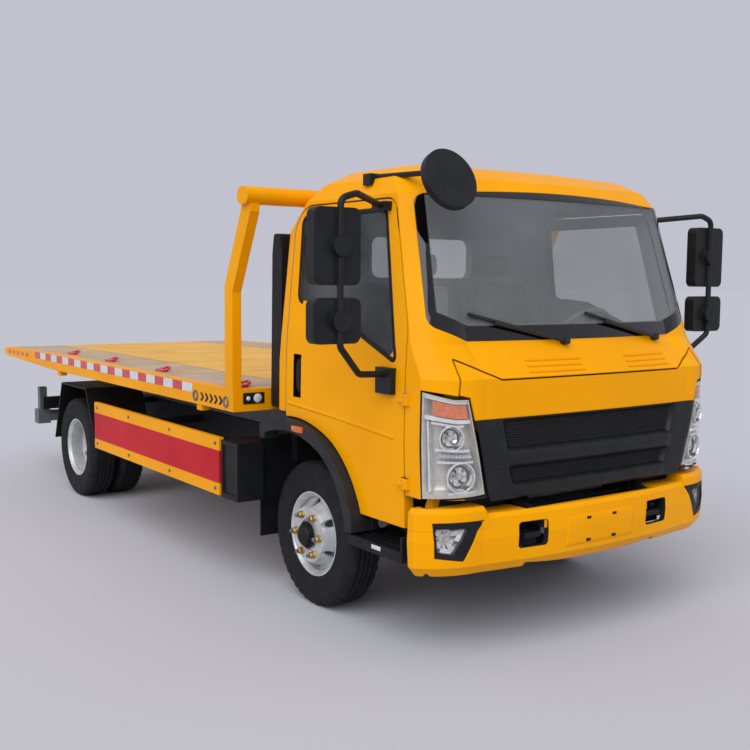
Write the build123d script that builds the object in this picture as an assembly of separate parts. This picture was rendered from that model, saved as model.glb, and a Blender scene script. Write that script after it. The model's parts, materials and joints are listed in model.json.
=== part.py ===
"""Flatbed tow truck: a light cab-over truck with a tilting, sliding bed and a rear underlift.

Frame: +X forward, +Y to the left, +Z up, millimetres. The origin is on the ground below the middle
of the overall length. Fore-and-aft places of the cab and chassis are given from the front axle.
"""
import os
from functools import cache
from math import sqrt

from build123d import *

# Driving dimensions of the whole vehicle
OVERALL_LENGTH = 5950.0
FRONT_OVERHANG = 1170.0
WHEELBASE = 3360.0
BED_WIDTH = 2260.0
CLEARANCE = 0.4
JOINT_GAP = 7.5

AXLE_F = OVERALL_LENGTH / 2 - FRONT_OVERHANG
AXLE_R = AXLE_F - WHEELBASE
TAIL = -OVERALL_LENGTH / 2

# Wheels and tyres
TYRE_R = 382.0
TYRE_HALF_W = 100.0
RIM_SEAT_R = 203.0
RIM_FLANGE_R = 222.0
RIM_HALF_W = 85.0
DISC_OFFSET = 115.0
DISC_T = 12.0
STUD_COUNT = 6
STUD_PCD = 222.25
STUD_R = 10.0
NUT_R = 15.0
HAND_HOLES = 6
HAND_HOLE_R = 21.0
FRONT_WHEEL_Y = 820.0
REAR_TWIN_Y = 790.0
KINGPIN_Y = 650.0
KINGPIN_R = 20.0
SPINDLE_R = 34.0
REAR_TUBE_R = 46.0

# Ladder frame
RAIL_OUT = 360.0
RAIL_FLANGE = 65.0
RAIL_Z0 = 560.0
RAIL_Z1 = 740.0
RAIL_T = 8.0
RAIL_FRONT = 1030.0
RAIL_REAR = -3780.0
TAIL_RAIL_REAR = -4230.0
TAIL_RAIL_Z1 = 690.0
TOW_EYE_X = 1095.0
TOW_EYE_Y = 420.0
TOW_EYE_Z = (535.0, 560.0)
TOW_EYE_R = 16.0

# Cab
CAB_WALL = 60.0
DOOR_WALL = 52.0
PANEL_SKIN = 8.0
GLASS_T = 6.0
CAB_PIVOT_X = 1085.0
CAB_PIVOT_Z = 650.0
CAB_PIVOT_Y = 420.0
CAB_PIN_R = 14.0
FIREWALL_X = 930.0
BAY_X = 965.0
CAB_BOTTOM = 590.0
FLOOR_Z = 660.0
PLATFORM_Z = 1055.0
DOOR_FRONT = 848.0
DOOR_REAR = -190.0
DOOR_TOP = 2085.0
FLAP_AXIS_X = 1045.0
FLAP_AXIS_Z = 1355.0
FLAP_ARM_Y = 212.0
FLAP_PIN_R = 7.0
SEAM_Z = 1272.0
GRILLE_TOP = 1099.0
GRILLE_BOTTOM = 722.0
GRILLE_DEPTH = 55.0
LAMP_GAP = 4.0
DOOR_HINGE = (852.0, -960.0)
DOOR_HINGE_Z = (800.0, 1180.0)
HINGE_R = 11.0
HINGE_PIN_R = 6.0
HINGE_HALF = 26.0

# Bumper
BUMPER_Z0 = 398.0
BUMPER_Z1 = 672.0
BUMPER_CORNER_Z1 = 708.0
BUMPER_CORNER_Y = 690.0
BUMPER_WALL = 30.0
BUMPER_BACK = 1118.0
BUMPER_SIDE_BACK = 1000.0
PLATE_DY = 176.0
PLATE_DZ = 108.0
PLATE_Z0 = 487.0
PLATE_HOLE_R = 5.0
HOOK_WINDOW_Y = 425.0
HOOK_WINDOW_Z = 557.0
HOOK_WINDOW = (170.0, 122.0, 18.0)
FOG_BACK = 1000.0
FOG_OUTLINE = [(-935, 648), (-692, 648), (-735, 600), (-800, 470), (-925, 490)]

# Bed, subframe and underlift
BED_FRONT = -461.0
BED_Z0 = 987.0
BED_Z1 = 1110.0
BED_RAIL_W = 60.0
BED_KINK = -3470.0
TAIL_Z0 = 1024.0
TAIL_Z1 = 1091.0
DECK_T = 10.0
RUNNER_REAR = -4230.0
SUB_Z0 = 746.0
SUB_Z1 = 865.0
SUB_FRONT = -560.0
SUB_REAR = -3830.0
SUB_MEMBERS = (-620.0, -1500.0, -2350.0, -3000.0, -3600.0)
TILT_X = -3800.0
TILT_Z = 800.0
CYL_BASE = (-1350.0, 600.0)
CYL_EYE = (-2350.0, 790.0)
CYL_Y = 215.0
CYL_BARREL_R = 45.0
CYL_ROD_R = 24.0
CYL_BARREL_L = 760.0
CYL_PIN_R = 14.0
SLIDE_STROKE = 2600.0
SLIDE_ROD_R = 25.0
SLIDE_BARREL_R = 45.0
POST_W = 54.0
BEAM_X = -303.0
BEAM_Z = 2144.0
BEAM_W = 120.0
BEAM_H = 92.0
LIFT_X = -3640.0
LIFT_Z = 520.0
LIFT_PIN_R = 18.0
STEM_HALF = 51.7
LIFT_MEMBER_Z = 602.0
FORK_BORE_R = 26.0

# Plan sections of the cab: height, nose at the middle, shoulder place, start of the side, half width, rear
CAB_SECTIONS = (
    # z, nose_x, shoulder_x, shoulder_y, side_x, half_width, rear_x, rear_radius
    (CAB_BOTTOM, 1108, 1092, 680, 950, 946, -300, 60),
    (1000, 1126, 1106, 700, 968, 958, -306, 60),
    (1278, 1124, 1102, 690, 965, 955, -306, 60),
    (1425, 1032, 962, 690, 880, 948, -304, 70),
    (1960, 888, 818, 690, 724, 898, -304, 80),
    (2110, 848, 778, 690, 680, 884, -212, 150),
    (2190, 790, 722, 650, 610, 850, -128, 190),
    (2245, 680, 628, 560, 520, 766, -40, 220),
    (2274, 520, 482, 430, 400, 610, 70, 200),
)
ROOF_FROM = 2150.0
ROOF_DROP = 45.0
CORNER_BULGE = 0.15

# Seats: middle of the cushion across the cab, its width
SEATS = ((480, 500), (-90, 420), (-560, 480))


def block(x, y, z):
    """Box between three (low, high) pairs."""
    low, high = zip(x, y, z)
    size = [b - a for a, b in zip(low, high)]
    mid = [(a + b) / 2 for a, b in zip(low, high)]
    return Pos(*mid) * Box(*size)


def side_face(points, radius=0.0):
    """Closed outline in XZ, its corners rounded where a radius is given."""
    outline = make_face(Polyline(*points, close=True))
    return fillet(outline.vertices(), radius) if radius else outline


def along_y(face, y0, y1):
    """Solid from an XZ outline, between two Y."""
    return extrude(Plane.XZ.offset(-y1) * face, y1 - y0)


def along_x(face, x0, x1):
    """Solid from a YZ outline, between two X."""
    return extrude(Plane.YZ.offset(x0) * face, x1 - x0)


def along_z(face, z0, z1):
    """Solid from an XY outline, between two Z."""
    return extrude(Plane.XY.offset(z0) * face, z1 - z0)


def rod(start, end, radius):
    """Round bar between two points."""
    a, b = Vector(*start), Vector(*end)
    return Solid.make_cylinder(radius, (b - a).length, Plane(origin=a, z_dir=(b - a).normalized()))


def cross_rod(place, half, radius):
    """Round bar across the right-hand tilt cylinder at an XZ place."""
    x, z = place
    return rod((x, -CYL_Y - half, z), (x, -CYL_Y + half, z), radius)


def flip(shape):
    """The same shape on the other side of the truck."""
    return mirror(shape, about=Plane.XZ)


def pair(shape):
    """A right-hand shape and its left-hand mirror image."""
    return [shape, flip(shape)]


def fused(shapes):
    """One solid from touching shapes."""
    first, *rest = shapes
    for other in rest:
        first = first + other
    return first


def spun(points, centre_y=0.0):
    """Ring round the Y axis from (radius, y) points."""
    face = make_face(Polyline(*[(r, y + centre_y) for r, y in points], close=True))
    return revolve(face, Axis.Y)


# Wheels


def tyre():
    """Tyre round the Y axis, with round shoulders and bulged walls."""
    seat = RIM_SEAT_R + CLEARANCE
    bead = RIM_FLANGE_R + CLEARANCE
    shoulder = TYRE_R - 22
    tread = TYRE_HALF_W - 30
    edges = []
    for s in (-1, 1):
        edges += [
            Line((seat, s * (RIM_HALF_W - 16)), (bead, s * (RIM_HALF_W - 2))),
            ThreePointArc(
                (bead, s * (RIM_HALF_W - 2)),
                (295, s * TYRE_HALF_W),
                (shoulder, s * (TYRE_HALF_W - 8)),
            ),
            ThreePointArc(
                (shoulder, s * (TYRE_HALF_W - 8)),
                (TYRE_R - 7, s * (TYRE_HALF_W - 17)),
                (TYRE_R, s * tread),
            ),
        ]
    edges.append(Line((TYRE_R, -tread), (TYRE_R, tread)))
    edges.append(Line((seat, -(RIM_HALF_W - 16)), (seat, RIM_HALF_W - 16)))
    return revolve(make_face(edges), Axis.Y)


def rim():
    """Pressed steel wheel round the Y axis: barrel and outset disc, +Y outward."""
    seat, flange, half = RIM_SEAT_R, RIM_FLANGE_R, RIM_HALF_W
    barrel = spun(
        [
            (flange, half), (seat, half - 15), (seat, 15 - half), (flange, -half),
            (flange - 7, -half), (seat - 8, 22 - half), (seat - 8, half - 22), (flange - 7, half),
        ]
    )
    face, back = DISC_OFFSET, DISC_OFFSET - DISC_T
    disc = spun(
        [
            (seat - 4, 36), (172, 52), (145, face), (82, face),
            (82, back), (138, back), (160, 44), (seat - 4, 24),
        ]
    )
    for i in range(HAND_HOLES):
        turn = Rot(0, (i + 0.5) * 360 / HAND_HOLES, 0)
        disc -= turn * rod((163, 20, 0), (163, face, 0), HAND_HOLE_R)
    return barrel + disc


def studs(face_y, length):
    """Wheel studs with their nuts, standing out of a disc face."""
    turns = [Rot(0, i * 360 / STUD_COUNT, 0) for i in range(STUD_COUNT)]
    nuts = [t * rod((STUD_PCD / 2, face_y, 0), (STUD_PCD / 2, face_y + 24, 0), NUT_R) for t in turns]
    tips = [t * rod((STUD_PCD / 2, face_y, 0), (STUD_PCD / 2, face_y + length, 0), STUD_R) for t in turns]
    return nuts + tips


def front_wheel_rim():
    """Front wheel with hub and drum, +Y outward, bored for the spindle."""
    back = DISC_OFFSET - DISC_T
    bore = SPINDLE_R + CLEARANCE
    hub = spun(
        [
            (bore, -70), (150, -70), (150, -10), (76, 5), (76, back - 22), (132, back - 22), (132, back),
            (60, back), (60, DISC_OFFSET + 8), (0, DISC_OFFSET + 8), (0, 60), (bore, 60),
        ]
    )
    return fused([rim(), hub] + studs(DISC_OFFSET, 42))


def rear_wheel_rims():
    """Twin rims on one hub, +Y outward, centred between the two discs."""
    inner = Pos(0, -DISC_OFFSET, 0) * rim()
    outer = Pos(0, DISC_OFFSET, 0) * mirror(rim(), about=Plane.XZ)
    bore = REAR_TUBE_R + CLEARANCE
    hub = spun(
        [
            (bore, -190), (150, -190), (150, -110), (80, -95), (80, -DISC_T - 18), (132, -DISC_T - 18),
            (132, DISC_T), (80, DISC_T), (80, 70), (55, 85), (0, 85), (0, 40), (bore, 40),
        ]
    )
    return fused([inner, outer, hub] + studs(DISC_T, 42))


def wheel_places():
    """Node ends, axle X, wheel Y and side sign of the four wheel bodies."""
    for side, sign in (("right", -1), ("left", 1)):
        yield "front", side, AXLE_F, sign * FRONT_WHEEL_Y, sign
        yield "rear", side, AXLE_R, sign * REAR_TWIN_Y, sign


def outward(shape, sign):
    """Turn a wheel made with +Y outward to its side."""
    return shape if sign > 0 else mirror(shape, about=Plane.XZ)


def wheels():
    parts = {}
    for end, side, x, y, sign in wheel_places():
        here = Pos(x, y, TYRE_R)
        if end == "front":
            parts[f"front_rim_{side}"] = [here * outward(front_wheel_rim(), sign)]
            parts[f"front_tyre_{side}"] = [here * tyre()]
        else:
            parts[f"rear_rims_{side}"] = [here * outward(rear_wheel_rims(), sign)]
            twins = (-DISC_OFFSET, DISC_OFFSET)
            parts[f"rear_tyres_{side}"] = [Pos(0, o, 0) * here * tyre() for o in twins]
    return parts


# Axles, knuckles and springs


def front_axle():
    """Forged beam with a dropped middle and an eye for each king pin."""
    beam = along_y(side_face([(-38, 270), (38, 270), (38, 340), (-38, 340)]), -KINGPIN_Y, KINGPIN_Y)
    pads = [block((-60, 60), (-390, -270), (270, 345))]
    eye = rod((0, -KINGPIN_Y, 270), (0, -KINGPIN_Y, 440), KINGPIN_R + 28)
    solid = fused([beam] + [s for p in pads + [eye] for s in pair(p)])
    bore = rod((0, -KINGPIN_Y, 200), (0, -KINGPIN_Y, 500), KINGPIN_R + CLEARANCE)
    for b in pair(bore):
        solid -= b
    return Pos(AXLE_F, 0, 0) * solid


def knuckle():
    """Right-hand knuckle: fork over the axle eye, king pin and wheel spindle."""
    pin = rod((0, -KINGPIN_Y, 230), (0, -KINGPIN_Y, 480), KINGPIN_R)
    arms = [
        along_z(Pos(0, -KINGPIN_Y - 20) * RectangleRounded(90, 130, 20), z0, z1)
        for z0, z1 in ((230, 268), (442, 480))
    ]
    web = block((-45, 45), (-KINGPIN_Y - 85, -KINGPIN_Y - 55), (230, 480))
    spindle = rod((0, -KINGPIN_Y - 60, TYRE_R), (0, -FRONT_WHEEL_Y - 55, TYRE_R), SPINDLE_R)
    arm = block((-150, -40), (-KINGPIN_Y - 20, -KINGPIN_Y + 20), (232, 262))
    return Pos(AXLE_F, 0, 0) * fused([pin, web, spindle, arm] + arms)


def rear_axle():
    """Banjo housing with tubes out to the hubs."""
    tube = rod((0, -REAR_TWIN_Y - 35, TYRE_R), (0, REAR_TWIN_Y + 35, TYRE_R), REAR_TUBE_R)
    bowl = Pos(0, 0, TYRE_R) * Rot(90, 0, 0) * Cylinder(165, 150)
    nose = rod((0, 0, TYRE_R), (215, 0, TYRE_R + 25), 80)
    beam = block((-55, 55), (-560, 560), (TYRE_R - 55, TYRE_R + 55))
    return Pos(AXLE_R, 0, 0) * fused([tube, beam, bowl, nose])


def leaf_spring(half_length, seat_z, eye_z, leaf_count):
    """Right-hand leaf pack on its axle seat, bowed up to its eyes under the rail."""
    y0, y1 = -RAIL_OUT - 5, -RAIL_OUT + RAIL_FLANGE + 5
    leaves = []
    for i in range(leaf_count):
        reach = half_length * (1 - i / (leaf_count + 1))
        rise = (eye_z - seat_z) * (reach / half_length) ** 2
        low = seat_z + 14 * (leaf_count - 1 - i)
        bow = [
            ThreePointArc((-reach, low + rise), (0, low), (reach, low + rise)),
            Line((reach, low + rise), (reach, low + rise + 14)),
            ThreePointArc((reach, low + rise + 14), (0, low + 14), (-reach, low + rise + 14)),
            Line((-reach, low + rise + 14), (-reach, low + rise)),
        ]
        leaves.append(along_y(make_face(bow), y0, y1))
    top = seat_z + 14 * (leaf_count - 1) + eye_z - seat_z
    for s in (-1, 1):
        hanger = side_face(
            [
                (s * (half_length - 60), RAIL_Z0), (s * (half_length - 20), top),
                (s * (half_length + 25), top), (s * (half_length + 60), RAIL_Z0),
            ]
        )
        leaves.append(along_y(hanger, y0 + 5, y1 - 5))
    clamp = block((-50, 50), (y0, y1), (seat_z, seat_z + 14 * leaf_count + 12))
    return fused(leaves + [clamp])


def springs():
    front = Pos(AXLE_F, 0, 0) * leaf_spring(560, 345, 470, 4)
    rear = Pos(AXLE_R, 0, 0) * leaf_spring(610, TYRE_R + 55, 478, 5)
    return pair(front) + pair(rear)


# Ladder frame and what hangs on it


def channel(x0, x1, y_out, z0, z1, web):
    """Right-hand rail of channel section, open to the middle of the truck."""
    solid = block((x0, x1), (-y_out, -y_out + RAIL_FLANGE), (z0, z1))
    return solid - block((x0 - 1, x1 + 1), (-y_out + web, -y_out + RAIL_FLANGE + 1), (z0 + web, z1 - web))


def ladder_frame():
    """Two rails, stepped down at the tail, with cross members and brackets."""
    rail = channel(RAIL_REAR, RAIL_FRONT, RAIL_OUT, RAIL_Z0, RAIL_Z1, RAIL_T)
    low_tail = channel(TAIL_RAIL_REAR, RAIL_REAR, RAIL_OUT, RAIL_Z0, TAIL_RAIL_Z1, RAIL_T)
    inner = RAIL_OUT - RAIL_T
    members = []
    for x, z0, z1 in (
        (960, 580, 660), (-980, 590, 720), (CYL_BASE[0] + 95, 575, 700), (-2560, 590, 730),
        (-3060, 590, 730), (LIFT_X - 30, LIFT_MEMBER_Z, 685), (-4190, LIFT_MEMBER_Z, 645),
    ):
        members.append(block((x - 35, x + 35), (-inner, inner), (z0, z1)))
    ear = along_y(
        side_face([(RAIL_REAR - 20, 640), (RAIL_REAR + 160, 640), (TILT_X + 50, 860), (TILT_X - 45, 860)]),
        -RAIL_OUT - 14,
        -RAIL_OUT,
    )
    pin = rod((TILT_X, -RAIL_OUT - 14, TILT_Z), (TILT_X, -RAIL_OUT + 40, TILT_Z), 22)
    cab_lug = along_y(
        side_face(
            [(RAIL_FRONT - 160, 570), (RAIL_FRONT, 570), (CAB_PIVOT_X + 22, 632), (CAB_PIVOT_X + 22, 672),
             (CAB_PIVOT_X - 22, 672), (RAIL_FRONT - 80, RAIL_Z1 - 20)]
        ),
        -RAIL_OUT - 20,
        -RAIL_OUT,
    )
    cab_pin = rod(
        (CAB_PIVOT_X, -CAB_PIVOT_Y, CAB_PIVOT_Z), (CAB_PIVOT_X, -RAIL_OUT, CAB_PIVOT_Z), CAB_PIN_R
    )
    lugs = [
        block((CYL_BASE[0] - 40, CYL_BASE[0] + 65), (y - 6, y + 6), (CYL_BASE[1] - 28, CYL_BASE[1] + 40))
        for y in (-CYL_Y - 53, -CYL_Y + 53)
    ]
    cyl_pin = cross_rod(CYL_BASE, 59, CYL_PIN_R)
    tow_eye = block((940, 1060), (-470, -300), TOW_EYE_Z) + block((1060, 1135), (-470, -370), TOW_EYE_Z)
    tow_eye -= rod((TOW_EYE_X, -TOW_EYE_Y, 500), (TOW_EYE_X, -TOW_EYE_Y, 600), TOW_EYE_R)
    cab_rest = block((-290, -230), (-560, -RAIL_OUT), (680, 730))
    cab_rest += block((-290, -230), (-560, -480), (680, 940))
    brackets = (rail, low_tail, ear, pin, cab_lug, cab_pin, cab_rest, cyl_pin, tow_eye, *lugs)
    solid = fused([p for bracket in brackets for p in pair(bracket)] + members)
    return Pos(AXLE_F, 0, 0) * solid


def engine():
    """Plain block for the engine and its gearbox."""
    rear = block((-330, 230), (-250, 250), (430, 890))
    front = block((230, 470), (-250, 250), (430, 760))
    gearbox = rod((-330, 0, 560), (-900, 0, 520), 150)
    inner = RAIL_OUT - RAIL_T
    mounts = block((50, 110), (-inner, inner), (600, 650))
    return Pos(AXLE_F, 0, 0) * fused([rear, front, gearbox, mounts])


def radiator():
    core = block((850, 905), (-290, 290), (470, 775))
    feet = block((850, 905), (-RAIL_OUT + RAIL_T, RAIL_OUT - RAIL_T), (600, 640))
    return Pos(AXLE_F, 0, 0) * (core + feet)


def propeller_shaft():
    """Shaft cut to meet the gearbox and the axle's nose face to face."""
    start = (AXLE_F - 880, 0, 520)
    end = (AXLE_R + 190, 0, TYRE_R + 25)
    return rod(start, end, 42) - engine() - rear_axle()


def fuel_tank():
    """Left-hand tank with rounded corners, strapped to the rail."""
    section = RectangleRounded(470, 400, 60)
    tank = Pos(-1550, RAIL_OUT + 290, 590) * (Rot(0, 90, 0) * extrude(section, 450, both=True))
    straps = [block((x - 20, x + 20), (RAIL_OUT, RAIL_OUT + 90), (600, 700)) for x in (-1800, -1300)]
    return Pos(AXLE_F, 0, 0) * fused([tank] + straps)


def side_boxes():
    """Black tool box and battery box ahead of the skirts."""
    body = block((-628, -500), (-1120, -440), (492, 815))
    body += block((-500, -434), (-1120, -958), (492, 815))
    body += block((-560, -510), (-440, -RAIL_OUT), (600, 680))
    recess = block((-606, -456), (-1121, -1112), (520, 790))
    return [Pos(AXLE_F, 0, 0) * (s - r) for s, r in zip(pair(body), pair(recess))]


def side_guards():
    """Skirt panels with their brackets from the rails."""
    half = BED_WIDTH / 2
    panel = block((-2583, -635), (-half, -half + 30), (498, 825))
    ribs = [block((x - 25, x + 25), (-half + 30, -RAIL_OUT), (640, 690)) for x in (-2480, -760)]
    return [Pos(AXLE_F, 0, 0) * s for s in pair(fused([panel] + ribs))]


def mudguards():
    """Rear mudguards over the twin tyres and the flaps behind the front wheels."""
    outer = [(-2940, 545), (-3105, 868), (-3650, 868), (-3835, 400)]
    inner = [(-3823, 400), (-3641, 856), (-3113, 856), (-2952, 545)]
    cover = along_y(side_face(outer + inner), -1008, -560)
    stay = block((-3400, -3340), (-570, -RAIL_OUT), (RAIL_Z1 - 40, RAIL_Z1)) + block(
        (-3400, -3340), (-570, -560), (RAIL_Z1 - 40, 858)
    )
    flap = block((-490, -478), (-950, -560), (275, 840))
    arm = block((-490, -462), (-600, -RAIL_OUT), (RAIL_Z1 - 80, RAIL_Z1 - 30))
    return [Pos(AXLE_F, 0, 0) * s for shape in (cover + stay, flap + arm) for s in pair(shape)]


def propped_lamps():
    """Rear lamp clusters on a bar across the tail of the frame."""
    bar = block((-4225, -4195), (-760, -RAIL_OUT), (600, 640))
    lamp = block((-4250, -4195), (-985, -760), (590, 690))
    return [Pos(AXLE_F, 0, 0) * s for s in pair(bar + lamp)]


def air_snorkel():
    """Intake duct behind the cab on the right, on a foot from the rail."""
    outline = [(-442, 1010), (-332, 1010), (-326, 1850), (-345, 1955), (-410, 1955), (-428, 1850)]
    duct = along_y(side_face(outline, 20), -905, -700)
    leg = block((-398, -340), (-800, -740), (760, 1012))
    foot = block((-398, -340), (-800, -RAIL_OUT), (700, 762))
    return Pos(AXLE_F, 0, 0) * fused([duct, leg, foot])


def steps():
    """Grated step under each door, hung from the rail."""
    tread = block((445, 890), (-990, -740), (440, 490))
    well = block((465, 870), (-970, -760), (470, 491))
    bars = [block((465, 870), (y - 6, y + 6), (470, 490)) for y in (-800, -840, -880, -920)]
    stay = block((600, 680), (-760, -RAIL_OUT), (440, 480))
    stay += block((600, 680), (-RAIL_OUT - 20, -RAIL_OUT), (440, 600))
    end = block((876, 890), (-990, -740), (440, 560))
    return [Pos(AXLE_F, 0, 0) * s for s in pair(fused([tread - well, stay, end] + bars))]


# Bumper


def bumper_plan(inset):
    """Bumper outline seen from above, drawn in by an inset."""
    nose = FRONT_OVERHANG - inset
    shoulder = (1112 - inset, 700)
    corner = (985 - inset / 2, 1004 - inset)
    back = (945, 1006 - inset)
    bend = (1066 - 0.8 * inset, 892 - 0.6 * inset)
    side = [(x, -y) for x, y in (back, corner, bend, shoulder)]
    edges = [Line(side[0], side[1]), ThreePointArc(side[1], side[2], side[3])]
    edges += [ThreePointArc(side[3], (nose, 0), shoulder), ThreePointArc(shoulder, bend, corner)]
    edges += [Line(corner, back), Line(back, side[0])]
    return make_face(edges)


def bumper_mass(wall, top):
    """Lofted bumper mass: its face leans in below and rolls over at the top."""
    levels = ((BUMPER_Z0, 46), (BUMPER_Z0 + 45, 8), (560, 0), (top - 20, 6), (top, 22))
    faces = [Plane.XY.offset(z) * bumper_plan(inset + wall) for z, inset in levels]
    return loft(faces, ruled=True)


@cache
def bumper_body():
    """Bumper mass with its corners raised beside the grille."""
    body = bumper_mass(0, BUMPER_Z1)
    outline = [
        (BUMPER_CORNER_Y - 25, BUMPER_Z1 - 60), (BUMPER_CORNER_Y, BUMPER_CORNER_Z1 + 5),
        (1100, BUMPER_CORNER_Z1 + 5), (1100, BUMPER_Z1 - 60),
    ]
    corner = bumper_mass(0, BUMPER_CORNER_Z1) & along_x(side_face(outline), 0, 2000)
    return fused([body] + pair(corner))


def plate_holes(x0, x1, radius):
    """Four holes for a number plate."""
    return [
        rod((x0, y, z), (x1, y, z), radius)
        for y in (-PLATE_DY / 2, PLATE_DY / 2)
        for z in (PLATE_Z0, PLATE_Z0 + PLATE_DZ)
    ]


def fog_prism(grow, x0, x1):
    face = side_face(FOG_OUTLINE)
    face = offset(face, grow) if grow else face
    return along_x(face, x0, x1)


def bumper():
    hollow = bumper_mass(BUMPER_WALL, BUMPER_Z1)
    hollow &= block((0, 2000), (-1100, 1100), (BUMPER_Z0, BUMPER_Z1 - 16))
    shell = bumper_body() - hollow
    for x, y in ((BUMPER_SIDE_BACK, 940), (BUMPER_BACK, 450)):
        shell -= block((0, x), (-y, y), (BUMPER_Z0 - 5, BUMPER_CORNER_Z1 + 5))
    for y in (-HOOK_WINDOW_Y, HOOK_WINDOW_Y):
        shell -= along_x(Pos(y, HOOK_WINDOW_Z) * RectangleRounded(*HOOK_WINDOW), 900, 1300)
    pad = block((1120, FRONT_OVERHANG - 1), (-PLATE_DY / 2 - 130, PLATE_DY / 2 + 130), (468, 612))
    shell += pad & bumper_body()
    for hole in plate_holes(1100, 1300, PLATE_HOLE_R):
        shell -= hole
    for prism in pair(fog_prism(CLEARANCE, FOG_BACK - 10, 1300)):
        shell -= prism
    bracket = block((RAIL_FRONT, 1145), (-RAIL_OUT + 2, -RAIL_OUT + RAIL_FLANGE), (575, 615)) - shell
    return [Pos(AXLE_F, 0, 0) * piece for piece in (shell, *pair(bracket))]


def fog_lamps():
    body = bumper_body()
    return [Pos(AXLE_F, 0, 0) * (body & p) for p in pair(fog_prism(0, FOG_BACK, 1300))]


# Cab


def cab_plan(row, inset):
    """One plan section of the cab, drawn in by an inset."""
    z, nose, sh_x, sh_y, side_x, half, rear, rear_r = row
    nose, sh_x, side_x = nose - inset, sh_x - inset, side_x - inset / 2
    half, rear = half - inset, rear + inset
    chord = (side_x - sh_x, half - sh_y)
    mid = (
        (sh_x + side_x) / 2 + CORNER_BULGE * chord[1],
        (sh_y + half) / 2 - CORNER_BULGE * chord[0],
    )
    turn = rear_r * (1 - sqrt(0.5))
    left = [
        (sh_x, sh_y), mid, (side_x, half),
        (rear + rear_r, half), (rear + turn, half - turn), (rear, half - rear_r),
    ]
    right = [(x, -y) for x, y in left]
    edges = [ThreePointArc(right[0], (nose, 0), left[0])]
    edges += [ThreePointArc(*left[0:3]), Line(left[2], left[3]), ThreePointArc(*left[3:6])]
    edges += [Line(left[5], right[5])]
    edges += [ThreePointArc(right[5], right[4], right[3]), Line(right[3], right[2])]
    edges += [ThreePointArc(*right[2::-1])]
    drop = ROOF_DROP if inset > 2 * PANEL_SKIN and z > ROOF_FROM else 0.0
    if z > ROOF_FROM and not drop:
        drop = inset
    return Plane.XY.offset(z - drop) * make_face(edges)


@cache
def cab_body(inset=0.0):
    """Cab mass, drawn in by an inset."""
    return loft([cab_plan(row, inset) for row in CAB_SECTIONS], ruled=True)


def wheel_arch_face():
    """XZ outline of the front wheel's space under the cab."""
    low_rear, top_rear, brow = (-420, 200), (-420, 930), (250, 905)
    front, low_front = (505, 560), (522, 200)
    return make_face(
        [
            Line(low_rear, top_rear),
            ThreePointArc(top_rear, (-60, 990), brow),
            ThreePointArc(brow, (405, 765), front),
            Line(front, low_front),
            Line(low_front, low_rear),
        ]
    )


def door_face():
    """XZ outline of the door, with round upper corners."""
    corners = [
        (DOOR_FRONT, CAB_BOTTOM - 40), (DOOR_FRONT, 1490), (672, DOOR_TOP),
        (DOOR_REAR, DOOR_TOP), (DOOR_REAR, CAB_BOTTOM - 40),
    ]
    outline = make_face(Polyline(*corners, close=True))
    radii = {1: 260.0, 2: 80.0, 3: 150.0}
    for i, r in radii.items():
        vertex = outline.vertices().sort_by_distance((corners[i][0], corners[i][1], 0))[0]
        outline = fillet(vertex, r)
    return outline


def door_window_face():
    """XZ outline of the window in the door: level sill behind, sloping down ahead."""
    corners = [(-92, 1604), (-112, 2022), (598, 2030), (764, 1348), (170, 1590)]
    return fillet(make_face(Polyline(*corners, close=True)).vertices(), 32)


def screen_face():
    """YZ outline of the windscreen."""
    low, side, top = (690, 1438), (880, 1512), (836, 2104)
    edges = [
        Line((-low[0], low[1]), low), Line(low, side), Line(side, top),
        ThreePointArc(top, (0, 2140), (-top[0], top[1])),
        Line((-top[0], top[1]), (-side[0], side[1])), Line((-side[0], side[1]), (-low[0], low[1])),
    ]
    return fillet(make_face(edges).vertices(), 55)


def rear_window_face():
    return Pos(0, 1838) * RectangleRounded(740, 228, 50)


def lamp_face():
    """YZ outline of the right-hand headlamp."""
    return make_face(Polyline((-677, 759), (-785, 1195), (-1010, 1238), (-1010, 742), close=True))


def flap_face():
    """YZ outline of the front flap above the grille."""
    half = [
        (754, GRILLE_TOP + CLEARANCE), (779, 1200), (826, 1212), (812, SEAM_Z + 88), (604, SEAM_Z - 4),
    ]
    return make_face(Polyline(*half, *[(-y, z) for y, z in reversed(half)], close=True))


def grille_face():
    half = [(650, GRILLE_BOTTOM), (670, 764), (754, GRILLE_TOP)]
    return make_face(Polyline(*half, *[(-y, z) for y, z in reversed(half)], close=True))


def front_opening_face():
    """YZ outline of flap and grille together."""
    half = [
        (652, GRILLE_BOTTOM - 60), (672, 764), (790, 1203),
        (826, 1210), (812, SEAM_Z + 88), (604, SEAM_Z - 4),
    ]
    return make_face(Polyline(*half, *[(-y, z) for y, z in reversed(half)], close=True))


def cabin_space():
    """Room inside the cab: footwell ahead, seat platform behind."""
    profile = side_face(
        [
            (-500, PLATFORM_Z), (330, PLATFORM_Z), (560, 800), (560, FLOOR_Z), (900, FLOOR_Z),
            (FIREWALL_X, 740), (FIREWALL_X, 1408), (1200, 1424), (1200, 2400), (-500, 2400),
        ]
    )
    space = cab_body(CAB_WALL) & along_y(profile, -1100, 1100)
    return space - block((500, 1000), (-470, 470), (600, 830))


def hinge_places():
    """The two hinge middles of the right-hand door."""
    return [Pos(*DOOR_HINGE, z) for z in DOOR_HINGE_Z]


def hinge_space():
    """Room cut in door and pillar round each hinge."""
    return [here * Cylinder(HINGE_R + 3, 2 * HINGE_HALF + 4) for here in hinge_places()]


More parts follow.
